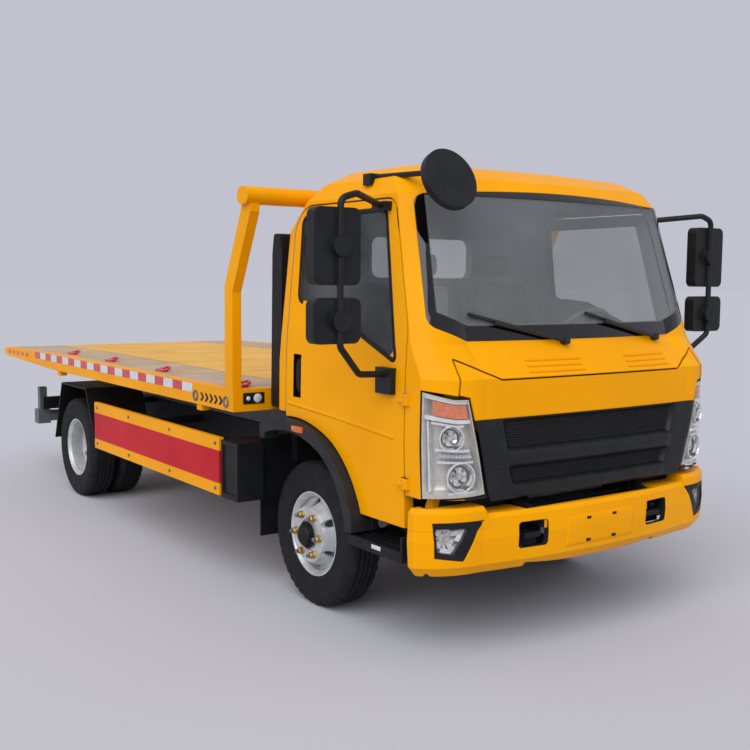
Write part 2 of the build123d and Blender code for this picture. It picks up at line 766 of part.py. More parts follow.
def pillar_hinges():
    """Hinge pins with their outer knuckles, joined to the pillar."""
    arm = block((0, 38), (-HINGE_R, HINGE_R), (-HINGE_HALF, HINGE_HALF))
    arm += Cylinder(HINGE_R, 2 * HINGE_HALF)
    arm -= Cylinder(HINGE_R + 3, HINGE_HALF)
    return [here * (arm + Cylinder(HINGE_PIN_R, 2 * HINGE_HALF)) for here in hinge_places()]


def door_hinges():
    """Middle knuckles, joined to the door and bored for the pins."""
    half = HINGE_HALF / 2 - CLEARANCE
    arm = block((-38, 0), (-HINGE_R, HINGE_R), (-half, half)) + Cylinder(HINGE_R, 2 * half)
    arm -= Cylinder(HINGE_PIN_R + CLEARANCE, 2 * HINGE_HALF)
    return [here * arm for here in hinge_places()]


def cab_shell(outer):
    shell = outer - cabin_space()
    bay = cab_body(PANEL_SKIN) & block((BAY_X, 1300), (-832, 832), (500, 1396))
    shell -= bay
    shell -= along_y(wheel_arch_face(), -1100, 1100)
    shell -= block((-420, DOOR_REAR + 4), (-1100, 1100), (500, 1012))
    shell -= block((380, BAY_X + 5), (-430, 430), (500, 790))
    shell -= block((BAY_X, 1300), (-1100, 1100), (500, 745))
    for y in ((-1100, -880), (880, 1100)):
        shell -= block((DOOR_FRONT, 1300), y, (500, 745))
    ring = outer - cab_body(CAB_WALL)
    opening = offset(door_face(), JOINT_GAP)
    for y in ((-1100, -700), (700, 1100)):
        shell -= ring & along_y(opening, *y)
    shell -= along_x(screen_face(), 500, 1300)
    shell -= along_x(rear_window_face(), -400, -200)
    shell -= along_x(offset(front_opening_face(), JOINT_GAP), BAY_X, 1300)
    for prism in pair(along_x(offset(lamp_face(), LAMP_GAP), BAY_X, 1300)):
        shell -= prism
    x, z = FLAP_AXIS_X, FLAP_AXIS_Z
    lug = block((BAY_X - 5, x + 10), (22 - FLAP_ARM_Y, 34 - FLAP_ARM_Y), (z - 12, z + 12))
    pin = rod((x, -FLAP_ARM_Y, z), (x, 28 - FLAP_ARM_Y, z), FLAP_PIN_R)
    x, z = CAB_PIVOT_X, CAB_PIVOT_Z
    outline = [
        (FIREWALL_X - 5, 840), (BAY_X, 840), (990, 705), (x + 18, z + 18), (x + 18, z - 18),
        (x - 18, z - 18), (FIREWALL_X - 5, 700),
    ]
    foot = along_y(side_face(outline), -CAB_PIVOT_Y + 6, -RAIL_OUT - 26)
    foot -= rod((x, -500, z), (x, -300, z), CAB_PIN_R + CLEARANCE)
    for space in hinge_space():
        for s in pair(space):
            shell -= s
    shell = fused([shell] + [s for p in (lug, pin, foot, *pillar_hinges()) for s in pair(p)])
    solids = sorted(shell.solids(), key=lambda s: s.volume)
    return solids[-1]


def doors(outer):
    """Right-hand door skin-to-lining solid and its glass."""
    ring = outer - cab_body(DOOR_WALL)
    prism = along_y(door_face(), -1100, -600)
    door = (ring & prism) - along_y(wheel_arch_face(), -1100, 1100)
    door -= block((-420, DOOR_REAR + 1), (-1100, 1100), (500, 1012))
    window = door_window_face()
    door -= along_y(window, -1100, -600)
    door -= block((-118, -42), (-975, -925), (1098, 1323))
    for space in hinge_space():
        door -= space
    door = fused([door] + door_hinges())
    pane = (outer - cab_body(GLASS_T)) & along_y(offset(window, -CLEARANCE), -1100, -600)
    return door, pane


def mirror_set():
    """Right-hand mirrors on their bent arm, from the door's top corner to its lower bracket."""
    y_arm, x_arm = -1262.0, 787.0
    route = [
        (600, -912, 2052), (x_arm, -1180, 2085), (x_arm, y_arm, 2060), (x_arm, y_arm, 1420),
        (x_arm - 60, -1120, 1290), (x_arm - 60, -975, 1285),
    ]
    path = FilletPolyline(*route, radius=40)
    arm = sweep(Plane(origin=path @ 0, z_dir=path % 0) * Circle(15), path)
    glasses = []
    for z, width, height, depth in ((1855, 240, 335, 62), (1533, 245, 200, 62)):
        face = Plane.YZ * RectangleRounded(width, height, 35)
        shell = Pos(x_arm - 40, y_arm - 8, z) * extrude(face, depth / 2, both=True)
        boss = rod((x_arm - 20, y_arm, z), (x_arm + 24, y_arm, z), 46)
        glasses += [shell, boss]
    top = block((545, 650), (-930, -868), (2030, 2072))
    bottom = block((x_arm - 125, x_arm - 5), (-985, -945), (1195, 1315))
    return fused([arm, top, bottom] + glasses) - cab_body(-CLEARANCE)


def arch_trims():
    """Dark flared trim round each front arch."""
    face = wheel_arch_face()
    lip = offset(face, -9.0) - offset(face, -72.0)
    flange = face - offset(face, -72.0)
    keep = block((-400, 540), (-1100, 0), (500, 1000)) - block((-400, -250), (-1100, 0), (200, 850))
    keep -= block((-400, -300), (-912, 0), (500, 1000))
    trim = along_y(lip, -1002, -884) + along_y(flange, -884, -850)
    return [Pos(AXLE_F, 0, 0) * s for s in pair(trim & keep)]


def glass_panes(outer):
    skin = outer - cab_body(GLASS_T)
    screen = skin & along_x(offset(screen_face(), -CLEARANCE), 500, 1300)
    rear = skin & along_x(offset(rear_window_face(), -CLEARANCE), -400, -200)
    return [screen, rear]


def dashboard():
    """Dash with a binnacle hump ahead of the driver."""
    outline = [(FIREWALL_X, 1000), (FIREWALL_X, 1330), (880, 1385), (640, 1340), (600, 1270), (700, 1050)]
    profile = side_face(outline, 25)
    body = along_y(profile, -860, 860)
    hump = along_y(side_face([(840, 1350), (800, 1440), (660, 1440), (620, 1320)], 20), 300, 660)
    return body + hump


def steering_wheel():
    """Rim, spokes and column on the left."""
    ring = Torus(205, 15)
    hub = Cylinder(62, 45)
    spokes = [Rot(0, 0, a) * block((40, 200), (-18, 18), (-7, 7)) for a in (0, 120, 240)]
    wheel = fused([ring, hub] + spokes) + rod((0, 0, -10), (0, 0, -190), 32)
    return Pos(520, 480, 1400) * Rot(0, -50, 0) * wheel


def seats():
    solids = []
    for y, width in SEATS:
        cushion = block((-120, 370), (y - width / 2, y + width / 2), (PLATFORM_Z, PLATFORM_Z + 150))
        back = along_y(
            side_face([(-120, PLATFORM_Z + 20), (-30, PLATFORM_Z + 20), (-95, 1720), (-190, 1720)], 30),
            y - width / 2 + 10,
            y + width / 2 - 10,
        )
        rest = side_face([(-185, 1725), (-105, 1725), (-115, 1880), (-180, 1880)], 25)
        head = along_y(rest, y - 120, y + 120)
        neck = block((-160, -125), (y - 40, y + 40), (1700, 1760))
        solids.append(fused([cushion, back, head, neck]))
    return solids


def front_mirror():
    """Round front mirror on an arm from the right roof edge."""
    disc = Pos(985, -829, 2150) * Rot(0, 68, -28) * Cylinder(140, 34)
    block_mount = Pos(952, -812, 2164) * Rot(0, 68, -28) * Box(80, 70, 60)
    arm = rod((430, -842, 2200), (930, -815, 2190), 13)
    foot = block((400, 460), (-880, -815), (2160, 2215))
    return fused([disc, block_mount, arm, foot]) - cab_body(-CLEARANCE)


def screen_x(y, z):
    """X of the windscreen's outer face."""
    (_, nose0, *_), (_, nose1, *_) = CAB_SECTIONS[3:5]
    z0, z1 = CAB_SECTIONS[3][0], CAB_SECTIONS[4][0]
    nose = nose0 + (nose1 - nose0) * (z - z0) / (z1 - z0)
    sag = CAB_SECTIONS[3][1] - CAB_SECTIONS[3][2]
    return nose - sag * (y / CAB_SECTIONS[3][3]) ** 2


def wipers():
    """Two wiper arms with blades, lying against the windscreen."""
    solids = []
    for y in (-150, 540):
        ends = [(y, 1432, 24), (y - 400, 1522, 24), (y - 120, 1462, 15), (y - 520, 1560, 15)]
        start, tip, heel, toe = [(screen_x(py, pz) + out, py, pz) for py, pz, out in ends]
        pivot = rod((screen_x(y, 1424) - 20, y, 1424), (start[0] + 12, y, 1434), 18)
        solids.append(fused([rod(start, tip, 10), rod(heel, toe, 9), pivot]) - cab_body(-CLEARANCE))
    return solids


def headlamps(outer):
    return [outer & p for p in pair(along_x(lamp_face(), BAY_X, 1300))]


def front_flap(outer):
    skin = outer - cab_body(PANEL_SKIN)
    flap = skin & along_x(flap_face(), BAY_X, 1300)
    x, z = FLAP_AXIS_X, FLAP_AXIS_Z
    neck = [
        (1120, 1190), (1120, 1222), (1012, 1234), (1014, z - 17), (x - 6, z - 14),
        (x + 12, z - 6), (x + 8, z + 13), (990, z + 2), (990, 1206),
    ]
    arm = along_y(side_face(neck), 6 - FLAP_ARM_Y, 16 - FLAP_ARM_Y)
    arm -= rod((x, -FLAP_ARM_Y - 50, z), (x, 50 - FLAP_ARM_Y, z), FLAP_PIN_R + CLEARANCE)
    return fused([flap] + pair(arm & cab_body(2)))


def grille(outer):
    """Grille with two sunk mesh panels between proud bars."""
    mass = (outer - cab_body(GRILLE_DEPTH)) & along_x(grille_face(), BAY_X, 1300)
    for half, z0, z1 in ((560, 952, 1068), (512, 792, 868)):
        corners = [(-half - 15, z1), (half + 15, z1), (half - 15, z0), (-half + 15, z0)]
        pocket = side_face(corners)
        mass -= along_x(pocket, BAY_X, 1300) - cab_body(GRILLE_DEPTH - 20)
    return mass


def cab_parts():
    outer = cab_body()
    here = Pos(AXLE_F, 0, 0)
    door, pane = doors(outer)
    mirrors = mirror_set()
    parts = {
        "cab_shell": [here * cab_shell(outer)],
        "cab_glass": [here * p for p in glass_panes(outer)],
        "dashboard": [here * dashboard()],
        "steering_wheel": [here * (steering_wheel() - dashboard())],
        "cab_seats": [here * s for s in seats()],
        "headlamps": [here * s for s in headlamps(outer)],
        "front_mirror": [here * front_mirror()],
        "wipers": [here * s for s in wipers()],
        "arch_trims": arch_trims(),
        "front_flap": [here * front_flap(outer)],
        "grille": [here * grille(outer)],
    }
    for side, turn in (("right", lambda s: s), ("left", flip)):
        parts[f"door_{side}"] = [here * turn(door)]
        parts[f"door_glass_{side}"] = [here * turn(pane)]
        parts[f"mirror_{side}"] = [here * turn(mirrors)]
    return parts


# Tilting subframe and sliding bed


def subframe():
    """Tilting ladder on the frame rails, hinged at its rear end."""
    rail = block((SUB_REAR, SUB_FRONT), (-RAIL_OUT + 1, -RAIL_OUT + RAIL_FLANGE), (SUB_Z0, SUB_Z1))
    hollow_y = (-RAIL_OUT + 12, -RAIL_OUT + RAIL_FLANGE + 1)
    rail -= block((SUB_REAR + 15, SUB_FRONT - 15), hollow_y, (SUB_Z0 + 12, SUB_Z1 - 12))
    rail -= Pos(SUB_REAR, 0, SUB_Z0) * Rot(0, 45, 0) * Box(70, 900, 70)
    rail -= rod((TILT_X, -RAIL_OUT - 50, TILT_Z), (TILT_X, -RAIL_OUT + 45, TILT_Z), 22 + CLEARANCE)
    inner = RAIL_OUT - RAIL_FLANGE
    members = [
        block((x - 30, x + 30), (-inner - 10, inner + 10), (SUB_Z1 - 14, SUB_Z1)) for x in SUB_MEMBERS
    ]
    lugs = [
        block((CYL_EYE[0] - 45, CYL_EYE[0] + 45), (y - 6, y + 6), (CYL_EYE[1] - 35, SUB_Z1))
        for y in (-CYL_Y - 36, -CYL_Y + 36)
    ]
    return Pos(AXLE_F, 0, 0) * fused(pair(rail) + members + [s for l in lugs for s in pair(l)])


def cylinder_rod(start, end, radius):
    """Round bar along the right-hand tilt cylinder, between fractions of its length."""
    (x0, z0), (x1, z1) = CYL_BASE, CYL_EYE
    points = [(x0 + (x1 - x0) * f, -CYL_Y, z0 + (z1 - z0) * f) for f in (start, end)]
    return rod(*points, radius)


def tilt_cylinders():
    """Right-hand barrel and rod; the rod runs inside the barrel."""
    length = sqrt(sum((b - a) ** 2 for a, b in zip(CYL_BASE, CYL_EYE)))
    barrel = cylinder_rod(0, CYL_BARREL_L / length, CYL_BARREL_R) + cross_rod(CYL_BASE, 44, 40)
    barrel -= cylinder_rod(140 / length, 1.2, CYL_ROD_R + CLEARANCE)
    barrel -= cross_rod(CYL_BASE, 60, CYL_PIN_R + CLEARANCE)
    stem = cylinder_rod(160 / length, 1, CYL_ROD_R) + cross_rod(CYL_EYE, 24, 32)
    here = Pos(AXLE_F, 0, 0)
    return {"tilt_barrels": [here * s for s in pair(barrel)], "tilt_rods": [here * s for s in pair(stem)]}


def slide_cylinder():
    """Long barrel in the subframe and its rod to the bed."""
    z = (SUB_Z0 + SUB_Z1) / 2
    rear, front = -3680.0, -3680.0 + SLIDE_STROKE + 90
    stays = [block((x - 25, x + 25), (-30, 30), (z, SUB_Z1 - 14)) for x in SUB_MEMBERS[1:]]
    barrel = fused([rod((rear, 0, z), (front, 0, z), SLIDE_BARREL_R)] + stays)
    barrel -= rod((rear - 1, 0, z), (front - 30, 0, z), SLIDE_ROD_R + CLEARANCE)
    stem = rod((front - 45, 0, z), (rear - 60, 0, z), SLIDE_ROD_R)
    head = block((rear - 95, rear - 45), (-40, 40), (z - 38, BED_Z0 + 20))
    here = Pos(AXLE_F, 0, 0)
    return here * barrel, here * (stem + head)


def bed_side():
    """XZ outline of the bed's edge rail, thinner from the kink to the tail."""
    tail = TAIL - AXLE_F
    return side_face(
        [
            (BED_FRONT, BED_Z0), (BED_FRONT, BED_Z1), (BED_KINK, BED_Z1), (tail + 25, TAIL_Z1),
            (tail, TAIL_Z1 - 25), (tail, TAIL_Z0 + 25), (tail + 25, TAIL_Z0), (BED_KINK, BED_Z0),
        ]
    )


def bed_frame():
    """Edge rails with front, tail and cross members between them."""
    half = BED_WIDTH / 2
    tail = TAIL - AXLE_F
    rails = pair(along_y(bed_side(), -half, -half + BED_RAIL_W))
    inner = half - BED_RAIL_W
    front = block((BED_FRONT - 60, BED_FRONT), (-inner, inner), (BED_Z0, BED_Z1))
    under = (BED_Z0, BED_Z1 - DECK_T - 2)
    members = [block((x - 30, x + 30), (-inner, inner), under) for x in range(-1000, -3400, -480)]
    outline = [
        (tail, TAIL_Z0 + 25), (tail + 25, TAIL_Z0), (tail + 130, TAIL_Z0), (tail + 130, TAIL_Z1 - 12),
        (tail, TAIL_Z1 - 25),
    ]
    end = along_y(side_face(outline), -inner, inner)
    return Pos(AXLE_F, 0, 0) * fused(rails + [front, end] + members)


def bed_deck():
    """Deck plate between the rails, falling with the tail."""
    inner = BED_WIDTH / 2 - BED_RAIL_W
    tail = TAIL - AXLE_F
    top = [(BED_FRONT - 60, BED_Z1 - 2), (BED_KINK, BED_Z1 - 2), (tail + 20, TAIL_Z1 - 2)]
    low = [(x, z - DECK_T) for x, z in reversed(top)]
    return Pos(AXLE_F, 0, 0) * along_y(side_face(top + low), -inner, inner)


def bed_runners():
    across = (-RAIL_OUT, -RAIL_OUT + RAIL_FLANGE)
    runner = block((RUNNER_REAR, SUB_FRONT), across, (SUB_Z1 + CLEARANCE, BED_Z0))
    return [Pos(AXLE_F, 0, 0) * s for s in pair(runner)]


def headboard():
    """Posts that lean forward at the top, and the beam across them."""
    half = BED_WIDTH / 2
    outline = [
        (-557, BED_Z1), (-467, BED_Z1), (-467, 1640), (-262, 2060), (-262, BEAM_Z), (-340, BEAM_Z),
        (-372, 2060), (-557, 1670),
    ]
    post = along_y(side_face(outline), -half, -half + POST_W)
    beam = along_y(Pos(BEAM_X, BEAM_Z) * SlotOverall(BEAM_W, BEAM_H), -half - 25, half + 25)
    return Pos(AXLE_F, 0, 0) * fused(pair(post) + [beam])


def winch():
    drum = rod((-660, -190, 1230), (-660, 190, 1230), 75)
    cheek = side_face([(-780, BED_Z1 - 2), (-540, BED_Z1 - 2), (-570, 1340), (-750, 1340)])
    cheeks = [along_y(cheek, y - 12, y + 12) for y in (-200, 200)]
    motor = rod((-660, 200, 1230), (-660, 360, 1230), 60)
    return Pos(AXLE_F, 0, 0) * fused([drum, motor] + cheeks)


# Underlift


def underlift():
    """Boom hinged below the tail of the frame, with a sliding crossbar."""
    boom = block((-4240, LIFT_X - 40), (-65, 65), (LIFT_Z - 65, LIFT_Z + 65))
    boom -= block((-4260, LIFT_X - 90), (-52, 52), (LIFT_Z - 52, LIFT_Z + 52))
    eye = rod((LIFT_X, -65, LIFT_Z), (LIFT_X, 65, LIFT_Z), 45)
    eye += block((LIFT_X - 60, LIFT_X), (-65, 65), (LIFT_Z - 45, LIFT_Z + 45))
    stem = block((-4300, LIFT_X - 110), (-STEM_HALF, STEM_HALF), (LIFT_Z - STEM_HALF, LIFT_Z + STEM_HALF))
    bar = rod((-4300, -1000, LIFT_Z), (-4300, 1000, LIFT_Z), 48)
    post = block((-4352, -4248), (-1012, -908), (LIFT_Z - 60, LIFT_Z + 60))
    mast = block((-4330, -4270), (-990, -930), (LIFT_Z + 60, LIFT_Z + 250))
    bore = rod((-4300, -960, LIFT_Z - 80), (-4300, -960, LIFT_Z + 280), FORK_BORE_R)
    crossbar = fused([stem, bar] + pair(post) + pair(mast))
    for b in pair(bore):
        crossbar -= b
    here = Pos(AXLE_F, 0, 0)
    boom = boom + eye - rod((LIFT_X, -70, LIFT_Z), (LIFT_X, 70, LIFT_Z), LIFT_PIN_R + CLEARANCE)
    return here * boom, here * crossbar


def underlift_mast():
    """Bracket on the frame's rear cross member that carries the boom's hinge."""
    top = LIFT_MEMBER_Z
    outline = [(LIFT_X - 95, top), (LIFT_X + 40, top), (LIFT_X + 45, LIFT_Z - 50), (LIFT_X - 45, LIFT_Z - 50)]
    plate = along_y(side_face(outline), -95, -72)
    cap = block((LIFT_X - 95, LIFT_X + 40), (-95, 95), (top - 10, top))
    pin = rod((LIFT_X, -95, LIFT_Z), (LIFT_X, 95, LIFT_Z), LIFT_PIN_R)
    return Pos(AXLE_F, 0, 0) * fused(pair(plate) + [cap, pin])


def all_parts():
    barrel, slide_rod = slide_cylinder()
    boom, crossbar = underlift()
    right_knuckle = knuckle()
    parts = {
        "ladder_frame": [ladder_frame()],
        "front_axle": [front_axle()],
        "rear_axle": [rear_axle()],
        "leaf_springs": springs(),
        "engine": [engine()],
        "radiator": [radiator()],
        "propeller_shaft": [propeller_shaft()],
        "fuel_tank": [fuel_tank()],
        "side_boxes": side_boxes(),
        "side_guards": side_guards(),
        "mudguards": mudguards(),
        "front_bumper": bumper(),
        "fog_lamps": fog_lamps(),
        "cab_steps": steps(),
        "rear_lamps": propped_lamps(),
        "air_snorkel": [air_snorkel()],
        "underlift_mast": [underlift_mast()],
        "knuckle_right": [right_knuckle],
        "knuckle_left": [flip(right_knuckle)],
        "tilt_subframe": [subframe()],
        "slide_barrel": [barrel],
        "slide_rod": [slide_rod],
        "bed_frame": [bed_frame()],
        "bed_deck": [bed_deck()],
        "bed_runners": bed_runners(),
        "headboard": [headboard()],
        "winch": [winch()],
        "underlift_boom": [boom],
        "underlift_crossbar": [crossbar],
    }
    parts.update(tilt_cylinders())
    parts.update(wheels())
    parts.update(cab_parts())
    return parts


def main():
    os.makedirs("parts", exist_ok=True)
    for name, shapes in all_parts().items():
        solids = [s for piece in shapes for s in piece.solids()]
        shape = solids[0] if len(solids) == 1 else Compound(solids)
        export_step(shape, os.path.join("parts", f"{name}.step"))


if __name__ == "__main__":
    main()
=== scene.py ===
# %% [markdown]
# # A flatbed tow truck, dressed for its picture
# The solids of the truck come from a CAD file and are already in place, in metres, with the ground at
# zero, the nose towards +X and the driver's side towards +Y. This lesson adds what solids lack: paint,
# rubber, glass, tape, tread and the small pieces that show how the truck is put together. We load the
# frame first, because every new piece is placed by it.

# %% Load the frame
import json
import math

import bmesh
import bpy
from mathutils import Matrix, Vector
from mathutils.bvhtree import BVHTree


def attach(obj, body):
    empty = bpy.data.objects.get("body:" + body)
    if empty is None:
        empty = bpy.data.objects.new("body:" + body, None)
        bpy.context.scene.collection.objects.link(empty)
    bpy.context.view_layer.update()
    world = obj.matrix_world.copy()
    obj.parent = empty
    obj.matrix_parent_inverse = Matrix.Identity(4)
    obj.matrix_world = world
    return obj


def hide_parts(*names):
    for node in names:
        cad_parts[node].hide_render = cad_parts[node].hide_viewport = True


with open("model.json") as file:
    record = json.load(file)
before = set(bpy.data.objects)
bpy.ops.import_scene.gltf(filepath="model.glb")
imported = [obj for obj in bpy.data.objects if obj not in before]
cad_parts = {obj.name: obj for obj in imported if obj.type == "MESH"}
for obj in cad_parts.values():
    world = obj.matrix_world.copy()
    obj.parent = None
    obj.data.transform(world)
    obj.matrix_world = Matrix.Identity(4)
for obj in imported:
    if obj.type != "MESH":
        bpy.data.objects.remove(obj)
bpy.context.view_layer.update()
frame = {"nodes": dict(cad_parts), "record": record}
AXLE_F = 1.805
AXLE_R = -1.555
AXLE_Z = 0.382
SIDES = (("right", -1), ("left", 1))
SLOT_OF = {row["node"]: row["material_slot"] for row in frame["record"]["subparts"]}
BODY_OF = {n: body for body, nodes in frame["record"]["behaviour"]["bodies"].items() for n in nodes}

# %% [markdown]
# ## Colours and one recipe for finishes
# Every finish on the truck is a base colour that is never quite even: paint has cloudy patches and fine
# orange peel, plastic has grain, rubber has dust. Image textures could hold that, but noise nodes need no
# file and have no seams. One recipe builds the node tree: a broad noise mixes two close colours, a second
# one moves the roughness a little, and a fine one drives the bump. A bevel node under the bump softens
# the sharp edges of the solids, as paint and pressing do on the real panels.


# %% Finish recipe
def shade(code):
    """Linear colour from six hex digits."""
    parts = [int(code[i : i + 2], 16) / 255 for i in (0, 2, 4)]
    return tuple(p / 12.92 if p <= 0.04045 else ((p + 0.055) / 1.055) ** 2.4 for p in parts) + (1.0,)


class Finish:
    """A material's node tree with short calls for the nodes this truck needs."""

    def __init__(self, name):
        self.mat = bpy.data.materials.new(name)
        self.mat.use_nodes = True
        self.tree = self.mat.node_tree
        self.bsdf = self.tree.nodes["Principled BSDF"]
        self.place = self.node("ShaderNodeTexCoord").outputs["Object"]

    def node(self, kind, **sockets):
        made = self.tree.nodes.new(kind)
        for key, value in sockets.items():
            made.inputs[key].default_value = value
        return made

    def link(self, start, end):
        self.tree.links.new(start, end)

    def sockets(self, **values):
        for key, value in values.items():
            self.bsdf.inputs[key.replace("_", " ")].default_value = value

    def noise(self, scale, detail=3.0):
        made = self.node("ShaderNodeTexNoise", Scale=scale, Detail=detail)
        self.link(self.place, made.inputs["Vector"])
        return made.outputs["Fac"]

    def mix(self, factor, low, high):
        """Colour between low and high, each a colour or another node's output."""
        made = self.tree.nodes.new("ShaderNodeMix")
        made.data_type = "RGBA"
        self.link(factor, made.inputs["Factor"])
        for socket, value in ((made.inputs[6], low), (made.inputs[7], high)):
            if isinstance(value, tuple):
                socket.default_value = value
            else:
                self.link(value, socket)
        return made.outputs[2]

    def span(self, value, low, high, to_low=0.0, to_high=1.0):
        made = self.node("ShaderNodeMapRange")
        for key, number in zip(("From Min", "From Max", "To Min", "To Max"), (low, high, to_low, to_high)):
            made.inputs[key].default_value = number
        self.link(value, made.inputs["Value"])
        return made.outputs["Result"]

    def math(self, operation, first, second=None):
        made = self.tree.nodes.new("ShaderNodeMath")
        made.operation = operation
        for socket, value in zip(made.inputs, (first, second)):
            if value is None:
                continue
            if isinstance(value, (int, float)):
                socket.default_value = value
            else:
                self.link(value, socket)
        return made.outputs[0]

    def axes(self):
        made = self.node("ShaderNodeSeparateXYZ")
        self.link(self.place, made.inputs[0])
        return made.outputs

    def bump(self, height, strength, distance, edge=0.0):
        made = self.node("ShaderNodeBump", Strength=strength, Distance=distance)
        self.link(height, made.inputs["Height"])
        if edge:
            soft = self.node("ShaderNodeBevel", Radius=edge)
            soft.samples = 4
            self.link(soft.outputs["Normal"], made.inputs["Normal"])
        self.link(made.outputs["Normal"], self.bsdf.inputs["Normal"])

    def colour(self, output):
        self.link(output, self.bsdf.inputs["Base Color"])

    def rough(self, output):
        self.link(output, self.bsdf.inputs["Roughness"])


def finish(name, light, dark, patch=3.0, rough=(0.3, 0.4), grain=400.0, bump=0.05, edge=0.0, **sockets):
    """Patchy colour, uneven roughness and a fine grain."""
    made = Finish(name)
    made.colour(made.mix(made.span(made.noise(patch), 0.35, 0.65), shade(light), shade(dark)))
    made.rough(made.span(made.noise(patch * 4), 0.3, 0.7, *rough))
    made.bump(made.noise(grain, 2.0), bump, 0.0005, edge)
    made.sockets(**sockets)
    return made.mat


print("paint in linear colour", [round(v, 3) for v in shade("FDAC00")])

# %% [markdown]
# ## The truck's plain finishes
# Most surfaces need only that recipe with their own numbers. Paint has a clear coat and a very low bump,
# moulded plastic is rough with a coarse grain, and bare metal is fully metallic. The paint's yellow is
# read from lit panels, because the light is set so that a colour renders about as it is written.

# %% Plain finishes
GLOSS = {"Coat_Weight": 0.05, "Coat_Roughness": 0.05, "Specular_IOR_Level": 0.06}
MATT = {"Specular_IOR_Level": 0.25}
PAINT = {
    "body_paint": finish("cab_paint", "FDAC00", "F7A500", 1.6, (0.30, 0.38), 900, 0.02, 0.006, **GLOSS),
    "bed_paint": finish("bed_paint", "F9A902", "F09F02", 2.2, (0.34, 0.46), 700, 0.04, 0.004, **GLOSS),
    "chassis_black": finish("chassis_black", "1B1C1E", "101113", 5, (0.45, 0.62), 500, 0.10, 0.003, **MATT),
    "grey_steel": finish("grey_steel", "6F7276", "5C5F63", 6, (0.40, 0.55), 500, 0.08, 0.003, Metallic=0.2),
    "cylinder_paint": finish("cylinder_paint", "222326", "17181A", 6, (0.35, 0.45), 600, 0.06),
    "wheel_silver": finish("wheel_silver", "D4D6D8", "BCBEC1", 14, (0.30, 0.42), 900, 0.05, Metallic=0.4),
    "polished_rod": finish("polished_rod", "D8DADD", "C6C9CD", 30, (0.08, 0.14), 1500, 0.02, Metallic=1.0),
    "engine_iron": finish("engine_iron", "4A4B4D", "38393B", 9, (0.6, 0.75), 250, 0.3, 0.004, Metallic=0.3),
    "bare_alloy": finish("bare_alloy", "A9ACB0", "94979B", 9, (0.35, 0.5), 700, 0.08, Metallic=0.9),
    "tyre_rubber": finish("tyre_rubber", "1F1F20", "161617", 12, (0.66, 0.80), 350, 0.16, 0.0, **MATT),
    "wiper_rubber": finish("wiper_rubber", "1A1A1B", "121213", 12, (0.45, 0.6), 600, 0.08),
    "black_plastic": finish("black_plastic", "1A1B1D", "131416", 10, (0.44, 0.56), 420, 0.16, 0.004, **MATT),
    "grey_plastic": finish("grey_plastic", "202124", "191A1C", 10, (0.40, 0.50), 420, 0.18, 0.006, **MATT),
    "trim_plastic": finish("trim_plastic", "2B2C2F", "222326", 8, (0.46, 0.58), 420, 0.18, 0.006, **MATT),
    "cabin_plastic": finish("cabin_plastic", "77787B", "68696C", 10, (0.55, 0.68), 420, 0.16, 0.006),
    "lining": finish("cabin_lining", "A3A4A8", "96979B", 4, (0.7, 0.85), 500, 0.12),
    # Near black for real black parts and, in recesses, cavities, undersides and backs, painted shade.
    "black_and_shade": finish("black_and_painted_shade", "19191A", "111112", 4, (0.6, 0.8), 300, 0.2),
    "rubber_edge": finish("rubber_edge", "161617", "0F0F10", 8, (0.4, 0.55), 600, 0.08, 0.0, **MATT),
    "lamp_red": finish("lamp_red", "B01218", "8A0A10", 20, (0.12, 0.2), 300, 0.1, Coat_Weight=0.6),
    "lamp_amber": finish("lamp_amber", "D96A10", "C05408", 40, (0.12, 0.22), 260, 0.4, Coat_Weight=0.6),
    "lamp_white": finish("lamp_white", "D9DCE0", "C4C8CE", 40, (0.10, 0.2), 260, 0.3, Coat_Weight=0.6),
    "chrome": finish("chrome_trim", "F0F1F2", "DCDEE0", 20, (0.10, 0.18), 900, 0.02, Metallic=0.6),
    "reflector": finish("lamp_reflector", "C9C5BE", "B7B2AA", 24, (0.28, 0.4), 500, 0.05, Metallic=0.35),
    # Mid and dark copies of the lamp metal, mixed facet by facet with chrome and reflector: painted
    # reflections.
    "painted_reflection_mid": finish("lamp_painted_reflection_mid", "9A9B9D", "85868A", 30, (0.15, 0.25), 700, 0.03, Metallic=0.6),
    "painted_reflection_dark": finish("lamp_painted_reflection_dark", "4C4D50", "3A3B3E", 30, (0.15, 0.25), 700, 0.03, Metallic=0.6),
    "brass": finish("brass_nut", "C19A55", "A8803D", 60, (0.3, 0.42), 700, 0.08, 0.002, Metallic=0.8),
    "tape_red": finish("tape_red", "D0202A", "BF1822", 30, (0.2, 0.3), 900, 0.15, Coat_Weight=0.4),
    "tape_white": finish("tape_white", "DADCE0", "CBCED4", 30, (0.2, 0.3), 900, 0.15, Coat_Weight=0.4),
    "seat_cloth": finish("seat_cloth", "5B5D62", "4A4C51", 30, (0.8, 0.95), 1400, 0.5),
    "seat_cover": finish("seat_cover", "C5C7CA", "AEB1B5", 18, (0.35, 0.5), 300, 0.4),
}
print(len(PAINT), "plain finishes")

# %% [markdown]
# ## Glass and clear lenses
# Glass in a truck is seen through twice, and a path-traced pane of real refraction would shade the whole
# cabin. A thin see-through sheet is kinder: a low alpha lets the light in, a grey base paints the haze
# that reflection gives the glass, and the coat keeps the sheen. The side windows' darker base is their tint
# and painted shade of the cabin behind them. The windscreen also has a black painted border. Four
# straight edges describe its outline, so the border is a rule on the distance to each edge.


# %% Glass finishes
def clear_sheet(name, tint_and_painted_haze, alpha):
    """See-through sheet with a faint painted haze of reflection and a glossy coat."""
    made = Finish(name)
    made.colour(made.mix(made.span(made.noise(2.5), 0.3, 0.7, 0.0, 0.12), shade(tint_and_painted_haze), shade("FFFFFF")))
    made.rough(made.span(made.noise(6.0), 0.4, 0.7, 0.02, 0.07))
    made.sockets(Alpha=alpha, Coat_Weight=0.25, Specular_IOR_Level=0.5)
    return made


